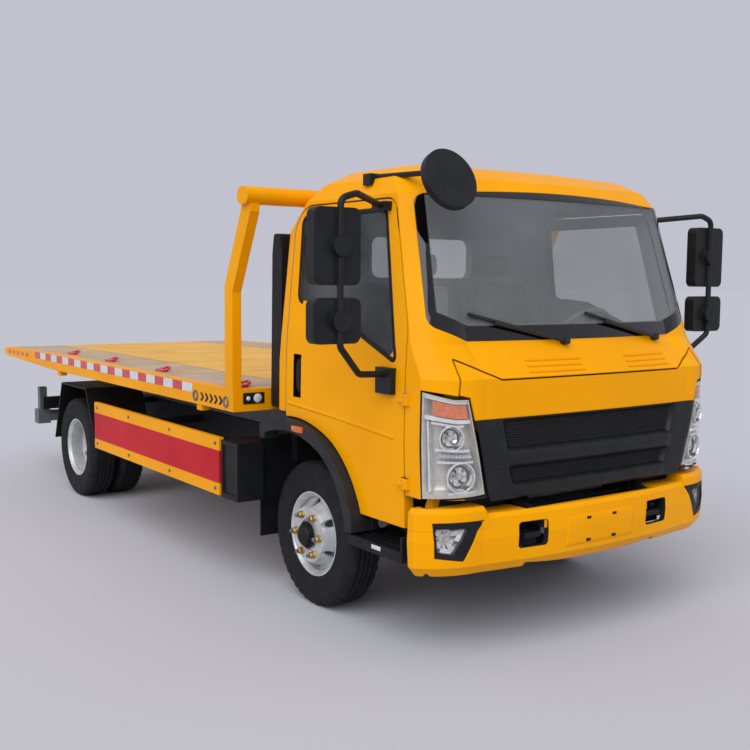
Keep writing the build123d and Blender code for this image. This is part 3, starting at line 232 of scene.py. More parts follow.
def screen_glass():
    """Windscreen with its black border inside the glass."""
    # The windscreen's grey base paints the haze of reflection on the glass.
    made = clear_sheet("screen_glass", "8F9698", 0.24)
    x, y, z = made.axes()
    half = made.math("ABSOLUTE", y)
    border = None
    # across, up: the edge's inward direction; start point of the edge; width of the border
    for ny, nz, py, pz, wide in (
        (0.0, 1.0, 0.690, 1.438, 0.072),
        (-0.3629, 0.9319, 0.690, 1.438, 0.074),
        (-0.9972, -0.0741, 0.880, 1.512, 0.046),
        (0.0, -1.0, 0.836, 2.118, 0.018),
    ):
        inside = made.math("ADD", made.math("MULTIPLY", half, ny), made.math("MULTIPLY", z, nz))
        reach = ny * py + nz * pz + wide
        black = made.span(inside, reach - 0.004, reach + 0.004, 1.0, 0.0)
        border = black if border is None else made.math("MAXIMUM", border, black)
    border = made.math("MULTIPLY", border, made.span(x, AXLE_F + 0.4, AXLE_F + 0.41))
    clear = made.bsdf.inputs["Base Color"].links[0].from_socket
    made.colour(made.mix(border, clear, shade("0B0B0C")))
    made.link(made.span(border, 0.0, 1.0, 0.24, 1.0), made.bsdf.inputs["Alpha"])
    return made.mat


# Side windows: a dark base that is their tint and painted shade of the cabin.
PAINT["window_glass"] = clear_sheet("window_glass", "20262A", 0.34).mat
# Lamp covers: a faint near-white base that paints their sheen.
PAINT["lamp_clear"] = clear_sheet("lamp_clear", "EEF2F6", 0.05).mat
PAINT["screen_glass"] = screen_glass()
print("glass finishes made")

# %% [markdown]
# ## Deck and skirt
# Two surfaces change colour by place. The deck is plate with tan strips beside yellow panels and dark
# seams between the sheets, and the skirt is yellow with a red band. Painting these as separate sheets
# would work, but a rule on the object's own coordinates keeps the edges sharp and follows the solid.


# %% Place-based finishes
def band(made, axis, low, high, soft=0.002):
    """One inside low to high along an axis output, else zero."""
    rise = made.span(axis, low - soft, low + soft)
    fall = made.span(axis, high - soft, high + soft, 1.0, 0.0)
    return made.math("MULTIPLY", rise, fall)


def skirt_finish():
    made = Finish("skirt_paint")
    cloud = made.span(made.noise(1.6), 0.35, 0.65)
    yellow = made.mix(cloud, shade("FBAA02"), shade("F3A202"))
    red = made.mix(cloud, shade("C9242E"), shade("BC1D27"))
    made.colour(made.mix(band(made, made.axes()["Z"], 0.566, 0.752), yellow, red))
    made.rough(made.span(made.noise(6.0), 0.3, 0.7, 0.30, 0.40))
    made.bump(made.noise(900), 0.03, 0.0005, 0.004)
    made.sockets(**GLOSS)
    return made.mat


DECK_SEAMS = (AXLE_F - 0.62, AXLE_F - 1.437, AXLE_F - 2.30, AXLE_F - 3.10, AXLE_F - 3.478)
TREAD_PITCH = 160.0


def deck_finish():
    made = Finish("deck_paint")
    x, y, _ = made.axes()
    cloud = made.span(made.noise(3.0), 0.35, 0.65)
    tan = made.mix(cloud, shade("C2A98A"), shade("B49A79"))
    yellow = made.mix(cloud, shade("EDB64A"), shade("E3A93B"))
    middle = band(made, made.math("ABSOLUTE", y), -1.0, 0.66)
    ahead = made.span(x, DECK_SEAMS[0] - 0.002, DECK_SEAMS[0] + 0.002, 1.0, 0.0)
    panel = made.mix(made.math("MULTIPLY", middle, ahead), tan, yellow)
    seam = band(made, made.math("ABSOLUTE", y), 0.657, 0.663, 0.001)
    for place in DECK_SEAMS:
        seam = made.math("MAXIMUM", seam, band(made, x, place - 0.004, place + 0.004, 0.001))
    made.colour(made.mix(seam, panel, shade("3A3128")))
    made.rough(made.span(made.noise(8.0), 0.3, 0.7, 0.5, 0.66))
    waves = []
    for way in ("ADD", "SUBTRACT"):
        slanted = made.math("MULTIPLY", made.math(way, x, y), TREAD_PITCH)
        waves.append(made.math("SINE", slanted))
    made.bump(made.math("MULTIPLY", *waves), 0.25, 0.0015)
    return made.mat


PAINT["skirt_paint"] = skirt_finish()
PAINT["deck_paint"] = deck_finish()
print("deck seams at", [round(s, 3) for s in DECK_SEAMS])

# %% [markdown]
# ## Finishes onto the solids
# Each solid names a material slot in its record. One loop gives every solid the finish of its slot, so
# a piece that is remade later can ask for the same one. A few solids differ from their slot's usual
# finish: the windscreen has its border, the arch trims are a lighter grey, and the front mirror is dark
# grey plastic.

# %% Assign finishes
OWN_FINISH = {"cab_glass": "screen_glass", "arch_trims": "trim_plastic", "front_mirror": "grey_plastic"}
for node, solid in frame["nodes"].items():
    for place in solid.material_slots:
        place.material = PAINT[OWN_FINISH.get(node, SLOT_OF[node])]
print(len(SLOT_OF), "solids dressed")

# %% [markdown]
# ## Floor, light and camera
# The photograph has an even grey-lavender ground and very soft light, with no line where floor and wall
# meet. Area lamps fall off with distance and would leave bright and dark patches on the floor, so a world
# colour and one very wide sun lamp light it instead: they reach every place alike. The world then shows
# the floor's own brightness to the camera, and the far edge of the floor disappears. The camera stands
# where the picture was taken: it was solved from matched points on both sides of the truck.

# %% Floor, light and camera
SKY_LIGHT = 0.56
# where each sun lamp aims, its strength and its width in degrees
SUNS = {"key": ((-0.46, 0.58, -0.70), 1.95, 60.0)}
FLOOR_REACH = 150.0
CAMERA_PLACE = (6.305, -3.713, 1.717)
# yaw, pitch and roll in degrees
CAMERA_TURN = (144.6, -5.35, 0.51)
# focal length as a share of the picture's width
CAMERA_FOCUS = 1027.9 / 750


def stage_floor():
    mesh = bpy.data.meshes.new("floor")
    reach = FLOOR_REACH
    corners = [(-reach, -reach, 0), (reach, -reach, 0), (reach, reach, 0), (-reach, reach, 0)]
    mesh.from_pydata(corners, [], [(0, 1, 2, 3)])
    floor = bpy.data.objects.new("floor", mesh)
    bpy.context.collection.objects.link(floor)
    made = Finish("floor_plain")
    made.colour(made.mix(made.noise(0.6), shade("C6C6D1"), shade("C4C4CF")))
    made.rough(made.span(made.noise(2.0), 0.3, 0.7, 0.9, 1.0))
    made.sockets(Specular_IOR_Level=0.0)
    mesh.materials.append(made.mat)


def sky():
    """World that lights evenly and shows the floor's brightness where it is seen."""
    world = bpy.data.worlds.new("studio")
    bpy.context.scene.world = world
    world.use_nodes = True
    tree = world.node_tree
    tree.nodes.clear()
    path = tree.nodes.new("ShaderNodeLightPath")
    seen = path.outputs["Is Camera Ray"]
    for name in ("Is Glossy Ray", "Is Transmission Ray"):
        join = tree.nodes.new("ShaderNodeMath")
        join.operation = "MAXIMUM"
        tree.links.new(seen, join.inputs[0])
        tree.links.new(path.outputs[name], join.inputs[1])
        seen = join.outputs[0]
    suns = sum(power * -Vector(aim).normalized().z for aim, power, _ in SUNS.values())
    level = SKY_LIGHT + suns / math.pi
    colours = {"back": (shade("C3C3CF"), level), "light": (shade("FFFFFF"), SKY_LIGHT)}
    made = {}
    for name, (colour, strength) in colours.items():
        made[name] = tree.nodes.new("ShaderNodeBackground")
        made[name].inputs["Color"].default_value = colour
        made[name].inputs["Strength"].default_value = strength
    mix = tree.nodes.new("ShaderNodeMixShader")
    out = tree.nodes.new("ShaderNodeOutputWorld")
    tree.links.new(seen, mix.inputs[0])
    tree.links.new(made["light"].outputs[0], mix.inputs[1])
    tree.links.new(made["back"].outputs[0], mix.inputs[2])
    tree.links.new(mix.outputs[0], out.inputs[0])
    return level


def wide_sun(name, aim, power, angle):
    lamp = bpy.data.lights.new(name, "SUN")
    lamp.energy = power
    lamp.angle = math.radians(angle)
    obj = bpy.data.objects.new(name, lamp)
    obj.rotation_euler = Vector(aim).to_track_quat("-Z", "Y").to_euler()
    bpy.context.collection.objects.link(obj)


def photo_camera():
    yaw, pitch, roll = (math.radians(a) for a in CAMERA_TURN)
    ahead = Vector((math.cos(yaw) * math.cos(pitch), math.sin(yaw) * math.cos(pitch), math.sin(pitch)))
    right = ahead.cross(Vector((0, 0, 1))).normalized()
    up = right.cross(ahead)
    turned_right = right * math.cos(roll) + up * math.sin(roll)
    turned_up = up * math.cos(roll) - right * math.sin(roll)
    lens = bpy.data.cameras.new("photo_camera")
    lens.sensor_width = 36.0
    lens.lens = CAMERA_FOCUS * lens.sensor_width
    lens.clip_end = 400.0
    camera = bpy.data.objects.new("photo_camera", lens)
    turn = Matrix((turned_right, turned_up, -ahead)).transposed().to_4x4()
    camera.matrix_world = Matrix.Translation(Vector(CAMERA_PLACE)) @ turn
    bpy.context.collection.objects.link(camera)
    bpy.context.scene.camera = camera


stage_floor()
floor_level = sky()
for lamp_name, (lamp_aim, lamp_power, lamp_angle) in SUNS.items():
    wide_sun(lamp_name, lamp_aim, lamp_power, lamp_angle)
photo_camera()
bpy.context.scene.view_settings.view_transform = "Standard"
print("floor level", round(floor_level, 3), "lens", round(bpy.context.scene.camera.data.lens, 2))

# %% [markdown]
# ## Tools for new pieces
# The new pieces are small and many, so a few helpers come first. One puts a mesh in the scene and lets it
# ride on a body. Others add a box, a turned shape or a row of joined loops to a mesh in progress. Pieces
# that lie on a curved panel are placed by shooting a ray at the solid: it gives the panel's place and
# direction there, so nothing has to be fitted by eye.


# %% Piece helpers
def piece(name, bm, body, slot, *mats, sharp=35.0):
    """Turn a mesh in progress into a piece that rides on a body."""
    bmesh.ops.recalc_face_normals(bm, faces=bm.faces)
    mesh = bpy.data.meshes.new(name)
    bm.to_mesh(mesh)
    bm.free()
    mesh.shade_smooth()
    mesh.set_sharp_from_angle(angle=math.radians(sharp))
    for mat in mats:
        mesh.materials.append(PAINT[mat])
    made = bpy.data.objects.new(name, mesh)
    bpy.context.collection.objects.link(made)
    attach(made, body)
    return made


def add_loops(bm, loops, index=0, caps=True):
    """Skin joining rows of points that each close on themselves."""
    rows = [[bm.verts.new(p) for p in loop] for loop in loops]
    count = len(rows[0])
    made = []
    for a, b in zip(rows, rows[1:]):
        for i in range(count):
            j = (i + 1) % count
            made.append(bm.faces.new((a[i], a[j], b[j], b[i])))
    if caps:
        made += [bm.faces.new(list(reversed(rows[0]))), bm.faces.new(rows[-1])]
    for face in made:
        face.material_index = index


def add_box(bm, low, high, index=0, soft=0.0):
    """Box between two corners, its edges rounded where a width is given."""
    mid = (Vector(low) + Vector(high)) / 2
    size = Vector(high) - Vector(low)
    fit = Matrix.Translation(mid) @ Matrix.Diagonal((*size, 1.0))
    made = bmesh.ops.create_cube(bm, size=1.0, matrix=fit)
    faces = {f for v in made["verts"] for f in v.link_faces}
    if soft:
        edges = list({e for f in faces for e in f.edges})
        done = bmesh.ops.bevel(bm, geom=edges, offset=soft, segments=2, profile=0.5, affect="EDGES")
        faces = {f for v in done["verts"] for f in v.link_faces} | {f for f in faces if f.is_valid}
    for face in faces:
        face.material_index = index


def add_side_box(bm, sign, xs, ys, zs, index=0, soft=0.0):
    """Box on one side of the truck, from its spans along X, outwards and up."""
    low, high = sorted(sign * y for y in ys)
    add_box(bm, (xs[0], low, zs[0]), (xs[1], high, zs[1]), index, soft)


def facing_side(x, y, z, sign):
    """Placement whose Z looks out of one side of the truck."""
    return Matrix.Translation((x, sign * y, z)) @ Matrix.Rotation(sign * -math.pi / 2, 4, "X")


def facing_front(x, y, z):
    """Placement whose Z looks ahead."""
    return Matrix.Translation((x, y, z)) @ Matrix.Rotation(math.pi / 2, 4, "Y")


def add_turned(bm, profile, place, count=40, index=0, caps=True):
    """Shape turned about the local Z of a placement matrix, from (radius, height) pairs."""
    loops = []
    for radius, height in profile:
        ring = [2 * math.pi * i / count for i in range(count)]
        loops.append([place @ Vector((radius * math.cos(a), radius * math.sin(a), height)) for a in ring])
    add_loops(bm, loops, index, caps)


def add_facets(bm, loops, finishes):
    """Loose flat faces between closed rows of points, each with one of several finishes, mixed as painted
    reflections.
    """
    for j, (a, b) in enumerate(zip(loops, loops[1:])):
        for i in range(len(a)):
            k = (i + 1) % len(a)
            face = bm.faces.new([bm.verts.new(p) for p in (a[i], a[k], b[k], b[i])])
            face.material_index = finishes[(5 * i + 3 * j + i * j) % len(finishes)]


def add_sheet(bm, rows):
    """Open sheet through rows of points."""
    made = [[bm.verts.new(p) for p in row] for row in rows]
    for a, b in zip(made, made[1:]):
        for i in range(len(a) - 1):
            bm.faces.new((a[i], a[i + 1], b[i + 1], b[i]))


def thicken(obj, thick):
    """Give a sheet a thickness, behind its face."""
    made = obj.modifiers.new("thickness", "SOLIDIFY")
    made.thickness = thick
    made.offset = -1.0
    return obj


def skin_of(*nodes):
    """Ray target made of some solids."""
    bm = bmesh.new()
    for node in nodes:
        bm.from_mesh(frame["nodes"][node].data)
    return BVHTree.FromBMesh(bm)


def shot(tree, start, way):
    """Place and direction of the first face that a ray meets."""
    place, normal, _, _ = tree.ray_cast(Vector(start), Vector(way))
    return place, (normal if normal.dot(Vector(way)) < 0 else -normal)


def from_front(tree, y, z, out=0.0):
    place, normal = shot(tree, (4.0, y, z), (-1, 0, 0))
    return place + normal * out


def from_side(tree, x, z, sign):
    return shot(tree, (x, sign * 3.0, z), (0, -sign, 0))


BEAD_ROOT = 0.002


def add_bead(bm, spots, width, height):
    """Raised rounded line laid through (place, direction) spots."""
    loops = []
    for i, (place, normal) in enumerate(spots):
        ahead = spots[min(i + 1, len(spots) - 1)][0] - spots[max(i - 1, 0)][0]
        across = ahead.cross(normal).normalized() * width
        arch = [place + across * u + normal * height * (1 - 4 * u * u) for u in (-0.5, -0.3, 0, 0.3, 0.5)]
        loops.append(arch + [place + across * u - normal * BEAD_ROOT for u in (0.5, -0.5)])
    add_loops(bm, loops)


print("helpers ready for", len(BODY_OF), "solids")

# %% [markdown]
# ## Panels with more than one finish
# The cab, doors and bumper are single solids, but the real ones are painted outside, lined inside and
# black where rubber begins. A copy of the solid's mesh keeps its shape exactly, and each face takes a
# finish by where it looks: towards the cabin it is lining, in an opening's edge it is rubber. Faces where
# shade falls, in the lamp bays, under the cab, low and in front in the cabin, behind the grille, in the
# bumper's hook windows and on the backs of bumper and flap, are near black as painted shade.


# %% Cab, doors and bumper
def repaint(node, rule, *mats):
    """Stand a copy in for a solid, with a finish chosen face by face."""
    mesh = frame["nodes"][node].data.copy()
    mesh.materials.clear()
    for mat in mats:
        mesh.materials.append(PAINT[mat])
    for face in mesh.polygons:
        face.material_index = rule(face.center, face.normal)
    made = bpy.data.objects.new(node + "_panels", mesh)
    bpy.context.collection.objects.link(made)
    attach(made, BODY_OF[node])
    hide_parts(node)
    return made


CABIN_MIDDLE = Vector((AXLE_F + 0.30, 0.0, 1.55))
LAMP_BAY_FRONT, LAMP_BAY_INNER, LAMP_BAY_HEIGHT = 0.960, 0.66, (0.735, 1.245)
# spans along the truck from the front axle, and up
DOOR_WINDOW = ((-0.125, 0.775), (1.33, 2.045))
DOOR_RECESS = ((-0.125, -0.035), (1.09, 1.33))
# spans outwards and up
HOOK_WINDOW = ((0.335, 0.515), (0.49, 0.622))


def within(across, up, spans):
    """Whether a place lies inside two spans."""
    return spans[0][0] < across < spans[0][1] and spans[1][0] < up < spans[1][1]


def cab_rule(place, normal):
    inward = normal.dot((CABIN_MIDDLE - place).normalized())
    x = place.x - AXLE_F
    lamp_middle = Vector((AXLE_F + 1.03, math.copysign(0.83, place.y), 0.98))
    in_height = LAMP_BAY_HEIGHT[0] < place.z < LAMP_BAY_HEIGHT[1]
    in_lamp = x > LAMP_BAY_FRONT and abs(place.y) > LAMP_BAY_INNER and in_height
    # Finish 2 is near black: painted shade in the lamp bays, low and in front in the cabin, under the cab
    # and low in the middle.
    if in_lamp and normal.dot((lamp_middle - place).normalized()) > 0.1:
        return 2
    if inward > 0.12:
        return 2 if place.z < 1.0 or x > 0.955 else 1
    if place.z < 1.02 and (normal.z < -0.4 or abs(place.y) < 0.80):
        return 2
    return 0


def door_rule(place, normal):
    x = place.x - AXLE_F
    inward = -normal.y * math.copysign(1.0, place.y)
    if inward > 0.5:
        return 1
    in_window = within(x, place.z, DOOR_WINDOW)
    in_recess = within(x, place.z, DOOR_RECESS)
    if abs(normal.y) < 0.4 and (in_window or in_recess):
        return 2
    if in_recess and abs(place.y) < 0.940:
        return 2
    return 0


def bumper_rule(place, normal):
    in_window = within(abs(place.y), place.z, HOOK_WINDOW)
    # Finish 1 is near black: painted shade on the bumper's back and in its hook windows.
    return 1 if normal.x < -0.2 or (abs(normal.x) < 0.3 and in_window) else 0


repaint("cab_shell", cab_rule, "body_paint", "lining", "black_and_shade")
for door in ("door_right", "door_left"):
    repaint(door, door_rule, "body_paint", "lining", "rubber_edge")
repaint("front_bumper", bumper_rule, "body_paint", "black_and_shade")
# The flap's back faces take the near-black painted shade.
repaint("front_flap", lambda place, normal: int(normal.x < -0.1), "body_paint", "black_and_shade")
print("cab, doors, bumper and flap take several finishes")

# %% [markdown]
# ## Tyres
# A tyre is a turned shape, but its tread is not: ribs run round it and notches cut the shoulders. The
# profile holds the ribs and the rings on the wall. Every third step round the tyre the shoulder points
# drop a little, which cuts the notches without a boolean.

# %% Tyres
TREAD_TURNS = 132
# radius, distance from the tyre's middle, how far a notch sinks that point
TYRE_HALF = (
    (0.2225, 0.084, 0), (0.236, 0.0915, 0), (0.240, 0.0945, 0), (0.246, 0.0938, 0), (0.272, 0.0978, 0),
    (0.300, 0.0992, 0), (0.318, 0.0985, 0), (0.322, 0.1000, 0), (0.328, 0.0992, 0), (0.345, 0.0955, 0),
    (0.359, 0.0915, 0.006), (0.3720, 0.0850, 0.010), (0.3805, 0.0740, 0.010), (0.3815, 0.0640, 0.004),
    (0.3815, 0.0500, 0), (0.3740, 0.0480, 0), (0.3740, 0.0420, 0), (0.3820, 0.0400, 0),
    (0.3820, 0.0170, 0), (0.3740, 0.0150, 0), (0.3740, 0.0090, 0), (0.3820, 0.0070, 0),
)


def add_tyre(bm, x, y):
    """Ribbed tyre about an axle place."""
    full = [(r, w, d) for r, w, d in TYRE_HALF] + [(r, -w, d) for r, w, d in reversed(TYRE_HALF)]
    inner = [(0.2055, -0.068, 0), (0.2055, 0.068, 0)]
    loops = []
    for i in range(TREAD_TURNS + 1):
        angle = 2 * math.pi * i / TREAD_TURNS
        sunk = 1.0 if i % 3 == 0 else 0.0
        ray = Vector((math.cos(angle), 0, math.sin(angle)))
        loops.append([Vector((x, y + w, AXLE_Z)) + ray * (r - d * sunk) for r, w, d in full + inner])
    add_loops(bm, loops, caps=False)
    bmesh.ops.remove_doubles(bm, verts=bm.verts, dist=1e-6)


def tyres():
    for side, sign in SIDES:
        front, rear = [(AXLE_F, 0.820)], [(AXLE_R, 0.675), (AXLE_R, 0.905)]
        for node, spots in ((f"front_tyre_{side}", front), (f"rear_tyres_{side}", rear)):
            bm = bmesh.new()
            for x, y in spots:
                add_tyre(bm, x, sign * y)
            made = piece(node + "_tread", bm, BODY_OF[node], "tyre_rubber", "tyre_rubber", sharp=32.0)
            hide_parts(node)


tyres()
print("tyres have", len(TYRE_HALF) * 2 + 2, "points round the section")

# %% [markdown]
# ## Wheel nuts and hubs
# The solids carry plain round studs. Each gets a hexagon nut with a chamfered end and a thread beyond it,
# and the front hubs get a stepped dust cap with small bolts. A hexagon is a turned shape of six steps.

# %% Wheel nuts and hubs
STUD_RING = 0.111125
# each profile is (radius, height) pairs from the wheel's face outwards
NUT = [(0.021, 0.0), (0.021, 0.004), (0.0182, 0.006), (0.0182, 0.022), (0.014, 0.027)]
STUD_END = [(0.0104, 0.02), (0.0104, 0.041), (0.0085, 0.0435)]
SMALL_BOLT = [(0.0052, 0.0), (0.0052, 0.005), (0.0035, 0.006)]
FRONT_CAP = [(0.070, 0.004), (0.070, 0.012), (0.058, 0.014), (0.055, 0.03), (0.047, 0.038), (0.02, 0.041)]
REAR_CAP = [(0.084, 0.058), (0.084, 0.072), (0.060, 0.074), (0.056, 0.088), (0.030, 0.092)]
CAP_BOLTS = 8
# wheel end, axle, place of its face, hub cap, radius of the cap's bolts and their height
HUBS = (
    ("front", AXLE_F, 0.935, FRONT_CAP, 0.063, 0.012),
    ("rear", AXLE_R, 0.802, REAR_CAP, 0.072, 0.072),
)


def wheel_trim():
    for side, sign in SIDES:
        for end, x, face, cap, ring, low in HUBS:
            hub = facing_side(x, face, AXLE_Z, sign)
            bm = bmesh.new()
            for i in range(6):
                turn = Matrix.Rotation(math.radians(60 * i), 4, "Z") @ Matrix.Translation((STUD_RING, 0, 0))
                add_turned(bm, NUT, hub @ turn, 6)
                add_turned(bm, STUD_END, hub @ turn, 14, 1)
            body = f"{end}_wheel_{side}"
            piece(f"{end}_nuts_{side}", bm, body, "wheel_silver", "brass", "grey_steel", sharp=25.0)
            bm = bmesh.new()
            add_turned(bm, cap, hub, 48)
            for i in range(CAP_BOLTS):
                turn = Matrix.Rotation(2 * math.pi * (i + 0.5) / CAP_BOLTS, 4, "Z")
                turn = turn @ Matrix.Translation((ring, 0, low))
                add_turned(bm, SMALL_BOLT, hub @ turn, 6)
            piece(f"{end}_hub_{side}", bm, body, "chassis_black", "chassis_black", sharp=25.0)


wheel_trim()
print("24 nuts and 4 hub caps")

# %% [markdown]
# ## Headlamps
# A headlamp is a clear cover over a silver tray: an amber lens at the top, a projector bowl, a step of
# small prisms and a larger bowl below, divided by bright bars. The solid gives only the outer form. We
# shoot rays at it to lay a grid over its front, from the grille edge (across = 0) round the corner to the
# side (across = 1) and from bottom (up = 0) to top (up = 1). Every part of the lamp is then placed by
# across, up and its depth behind the cover, so it follows the curve on its own.

# %% Headlamp grid
LAMP_SKIN = skin_of("headlamps")
LAMP_INNER, LAMP_OUTER = 0.690, 0.955
LAMP_PIVOT = AXLE_F + 0.900
LAMP_LAST_TURN = math.radians(75.0)


def between(a, b, t):
    return a + (b - a) * t


def lamp_spot(across, up, depth, sign):
    """Place and outward direction in a headlamp, some depth behind its cover."""
    width = between(LAMP_INNER, LAMP_OUTER, across)
    low = between(0.762, 0.745, (width - 0.677) / 0.333)
    high = between(1.192, 1.234, max(0.0, (width - 0.785) / 0.225))
    z = between(low, high, up)
    inner = between(0.684, 0.794, (z - 0.759) / 0.436)
    pivot = Vector((LAMP_PIVOT, sign * LAMP_INNER, z))
    first = math.atan2(inner - LAMP_INNER, 0.205)
    angle = between(first, LAMP_LAST_TURN, across)
    ray = Vector((math.cos(angle), sign * math.sin(angle), 0))
    place, normal = shot(LAMP_SKIN, pivot + ray, -ray)
    return place - ray * depth, normal


def lamp_face(sign, columns=28, rows=24):
    """Grid of places over the whole cover of a lamp."""
    face = []
    for j in range(rows + 1):
        face.append([lamp_spot(i / columns, j / rows, 0.0, sign)[0] for i in range(columns + 1)])
    return face


print("lamp centre", [round(v, 3) for v in lamp_spot(0.5, 0.5, 0.0, -1)[0]])


# %% Headlamp pieces
LENS_THICK = 0.003
# Finishes mixed facet by facet in the bowls: their bright and dark facets are painted reflections.
BOWL_PAINTED_REFLECTIONS = ("chrome", "reflector", "painted_reflection_mid", "painted_reflection_dark")
# spans across and up the lamp, depth behind the cover and thickness of each bright bar
LAMP_BARS = (
    ((0.04, 0.96), (0.955, 0.985), 0.006, 0.030),
    ((0.05, 0.96), (0.755, 0.795), 0.008, 0.035),
    ((0.22, 0.86), (0.715, 0.738), 0.018, 0.025),
    ((0.18, 0.80), (0.462, 0.488), 0.012, 0.035),
    ((0.14, 0.78), (0.345, 0.366), 0.010, 0.035),
    ((0.16, 0.66), (0.028, 0.052), 0.012, 0.035),
    ((0.90, 0.93), (0.060, 0.740), 0.014, 0.030),
)
# place across and up the lamp, depth of the mouth, radius and depth of each bowl
LAMP_BOWLS = ((0.50, 0.595, 0.016, 0.053, 0.036), (0.42, 0.200, 0.014, 0.064, 0.040))


def lamp_tray(sign):
    """Silver tray with a raised rim."""
    bm = bmesh.new()
    rows = []
    marks = [0.0, 0.03, 0.06, 0.09] + [0.09 + 0.82 * i / 14 for i in range(1, 15)] + [0.94, 0.97, 1.0]
    for t in marks:
        row = []
        for s in marks:
            edge = min(s, 1 - s, t, 1 - t)
            depth = 0.005 + 0.050 * min(1.0, max(0.0, (edge - 0.03) / 0.04))
            row.append(lamp_spot(s, t, depth, sign)[0])
        rows.append(row)
    add_sheet(bm, rows)
    return bm


def lamp_bar(bm, across, up, depth, thick, sign):
    """Solid bar that follows the lamp's curve."""
    loops = []
    for i in range(17):
        s = between(*across, i / 16)
        near = [lamp_spot(s, up[k], depth, sign)[0] for k in (0, 1)]
        far = [lamp_spot(s, up[k], depth + thick, sign)[0] for k in (1, 0)]
        loops.append(near + far)
    add_loops(bm, loops)


def lamp_bowl(bm, across, up, rim, radius, deep, sign):
    """Reflector bowl with a bulb shield, its mouth some depth behind the cover."""
    place, normal = lamp_spot(across, up, rim, sign)
    look = (normal + Vector((0.6, 0, 0))).normalized()
    here = Matrix.Translation(place) @ look.to_track_quat("Z", "Y").to_matrix().to_4x4()
    mouth = [(radius + 0.006, -0.008), (radius + 0.006, 0.003), (radius, 0.004), (radius - 0.002, -0.002)]
    add_turned(bm, mouth, here, 40, 0, caps=False)
    loops = []
    for step in range(6):
        a = math.radians(16 * step)
        ring = [2 * math.pi * (i + 0.5 * (step % 2)) / 14 for i in range(14)]
        r, h = radius * math.cos(a), -deep * math.sin(a)
        loops.append([here @ Vector((r * math.cos(b), r * math.sin(b), h)) for b in ring])
    # The facets take bright and dark finishes in turn: painted reflections.
    add_facets(bm, loops, (0, 1, 0, 2, 0, 1, 3))
    add_turned(bm, [(0.014, -deep), (0.014, -0.022), (0.010, -0.014), (0.003, -0.012)], here, 20, 1)


def headlamp(side, sign):
    tray = piece(f"lamp_tray_{side}", lamp_tray(sign), "cab", "lamp_clear", "reflector", sharp=50.0)
    bm = bmesh.new()
    for bar in LAMP_BARS:
        lamp_bar(bm, *bar, sign)
    for i in range(9):
        s = between(0.18, 0.74, i / 8)
        place, normal = lamp_spot(s, 0.408, 0.034, sign)
        here = Matrix.Translation(place) @ normal.to_track_quat("Z", "Y").to_matrix().to_4x4()
        add_turned(bm, [(0.017, 0.0), (0.016, 0.004), (0.001, 0.022)], here, 4)
    piece(f"lamp_bars_{side}", bm, "cab", "lamp_clear", "chrome", sharp=30.0)
    bm = bmesh.new()
    for bowl in LAMP_BOWLS:
        lamp_bowl(bm, *bowl, sign)
    piece(f"lamp_bowls_{side}", bm, "cab", "lamp_clear", *BOWL_PAINTED_REFLECTIONS, sharp=20.0)
    bm = bmesh.new()
    lamp_bar(bm, (0.09, 0.80), (0.805, 0.945), 0.008, 0.030, sign)
    piece(f"lamp_amber_{side}", bm, "cab", "lamp_clear", "lamp_amber", sharp=30.0)
    bm = bmesh.new()
    add_sheet(bm, lamp_face(sign))
    cover = piece(f"lamp_cover_{side}", bm, "cab", "lamp_clear", "lamp_clear", sharp=60.0)
    thicken(cover, LENS_THICK)
    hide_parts("headlamps")


for lamp_side, lamp_sign in SIDES:
    headlamp(lamp_side, lamp_sign)
print("two headlamps of five pieces")

# %% [markdown]
# ## Fog lamps
# Each fog lamp is a clear lens set in a black surround with a long tip towards the grille. Both outlines
# are seen from the same middle, so a ring of rays from there joins them: the surround runs from one
# outline to the other, then a wall drops to the reflector behind the lens.

# %% Fog lamps
FOG_SKIN = skin_of("fog_lamps")
FOG_MIDDLE = Vector((0.868, 0.572))
FOG_OUTER = [(0.934, 0.647), (0.694, 0.647), (0.736, 0.600), (0.800, 0.471), (0.924, 0.491)]
# turns either side of a ray, over which the outline's corners are rounded off
FOG_SMOOTH = (-0.07, -0.035, 0, 0.035, 0.07)
FOG_LENS = [(0.922, 0.620), (0.770, 0.618), (0.842, 0.500), (0.914, 0.514)]


def on_outline(outline, middle, angle):
    """Where a line from the middle at an angle leaves a closed outline."""
    ray = Vector((math.cos(angle), math.sin(angle)))
    best = 0.0
    for a, b in zip(outline, outline[1:] + outline[:1]):
        start, edge = Vector(a) - middle, Vector(b) - Vector(a)
        cross = ray.x * edge.y - ray.y * edge.x
        if abs(cross) < 1e-9:
            continue
        along = (start.x * edge.y - start.y * edge.x) / cross
        share = (start.x * ray.y - start.y * ray.x) / cross
        if along > 0 and -1e-6 <= share <= 1 + 1e-6:
            best = max(best, along)
    return middle + ray * best


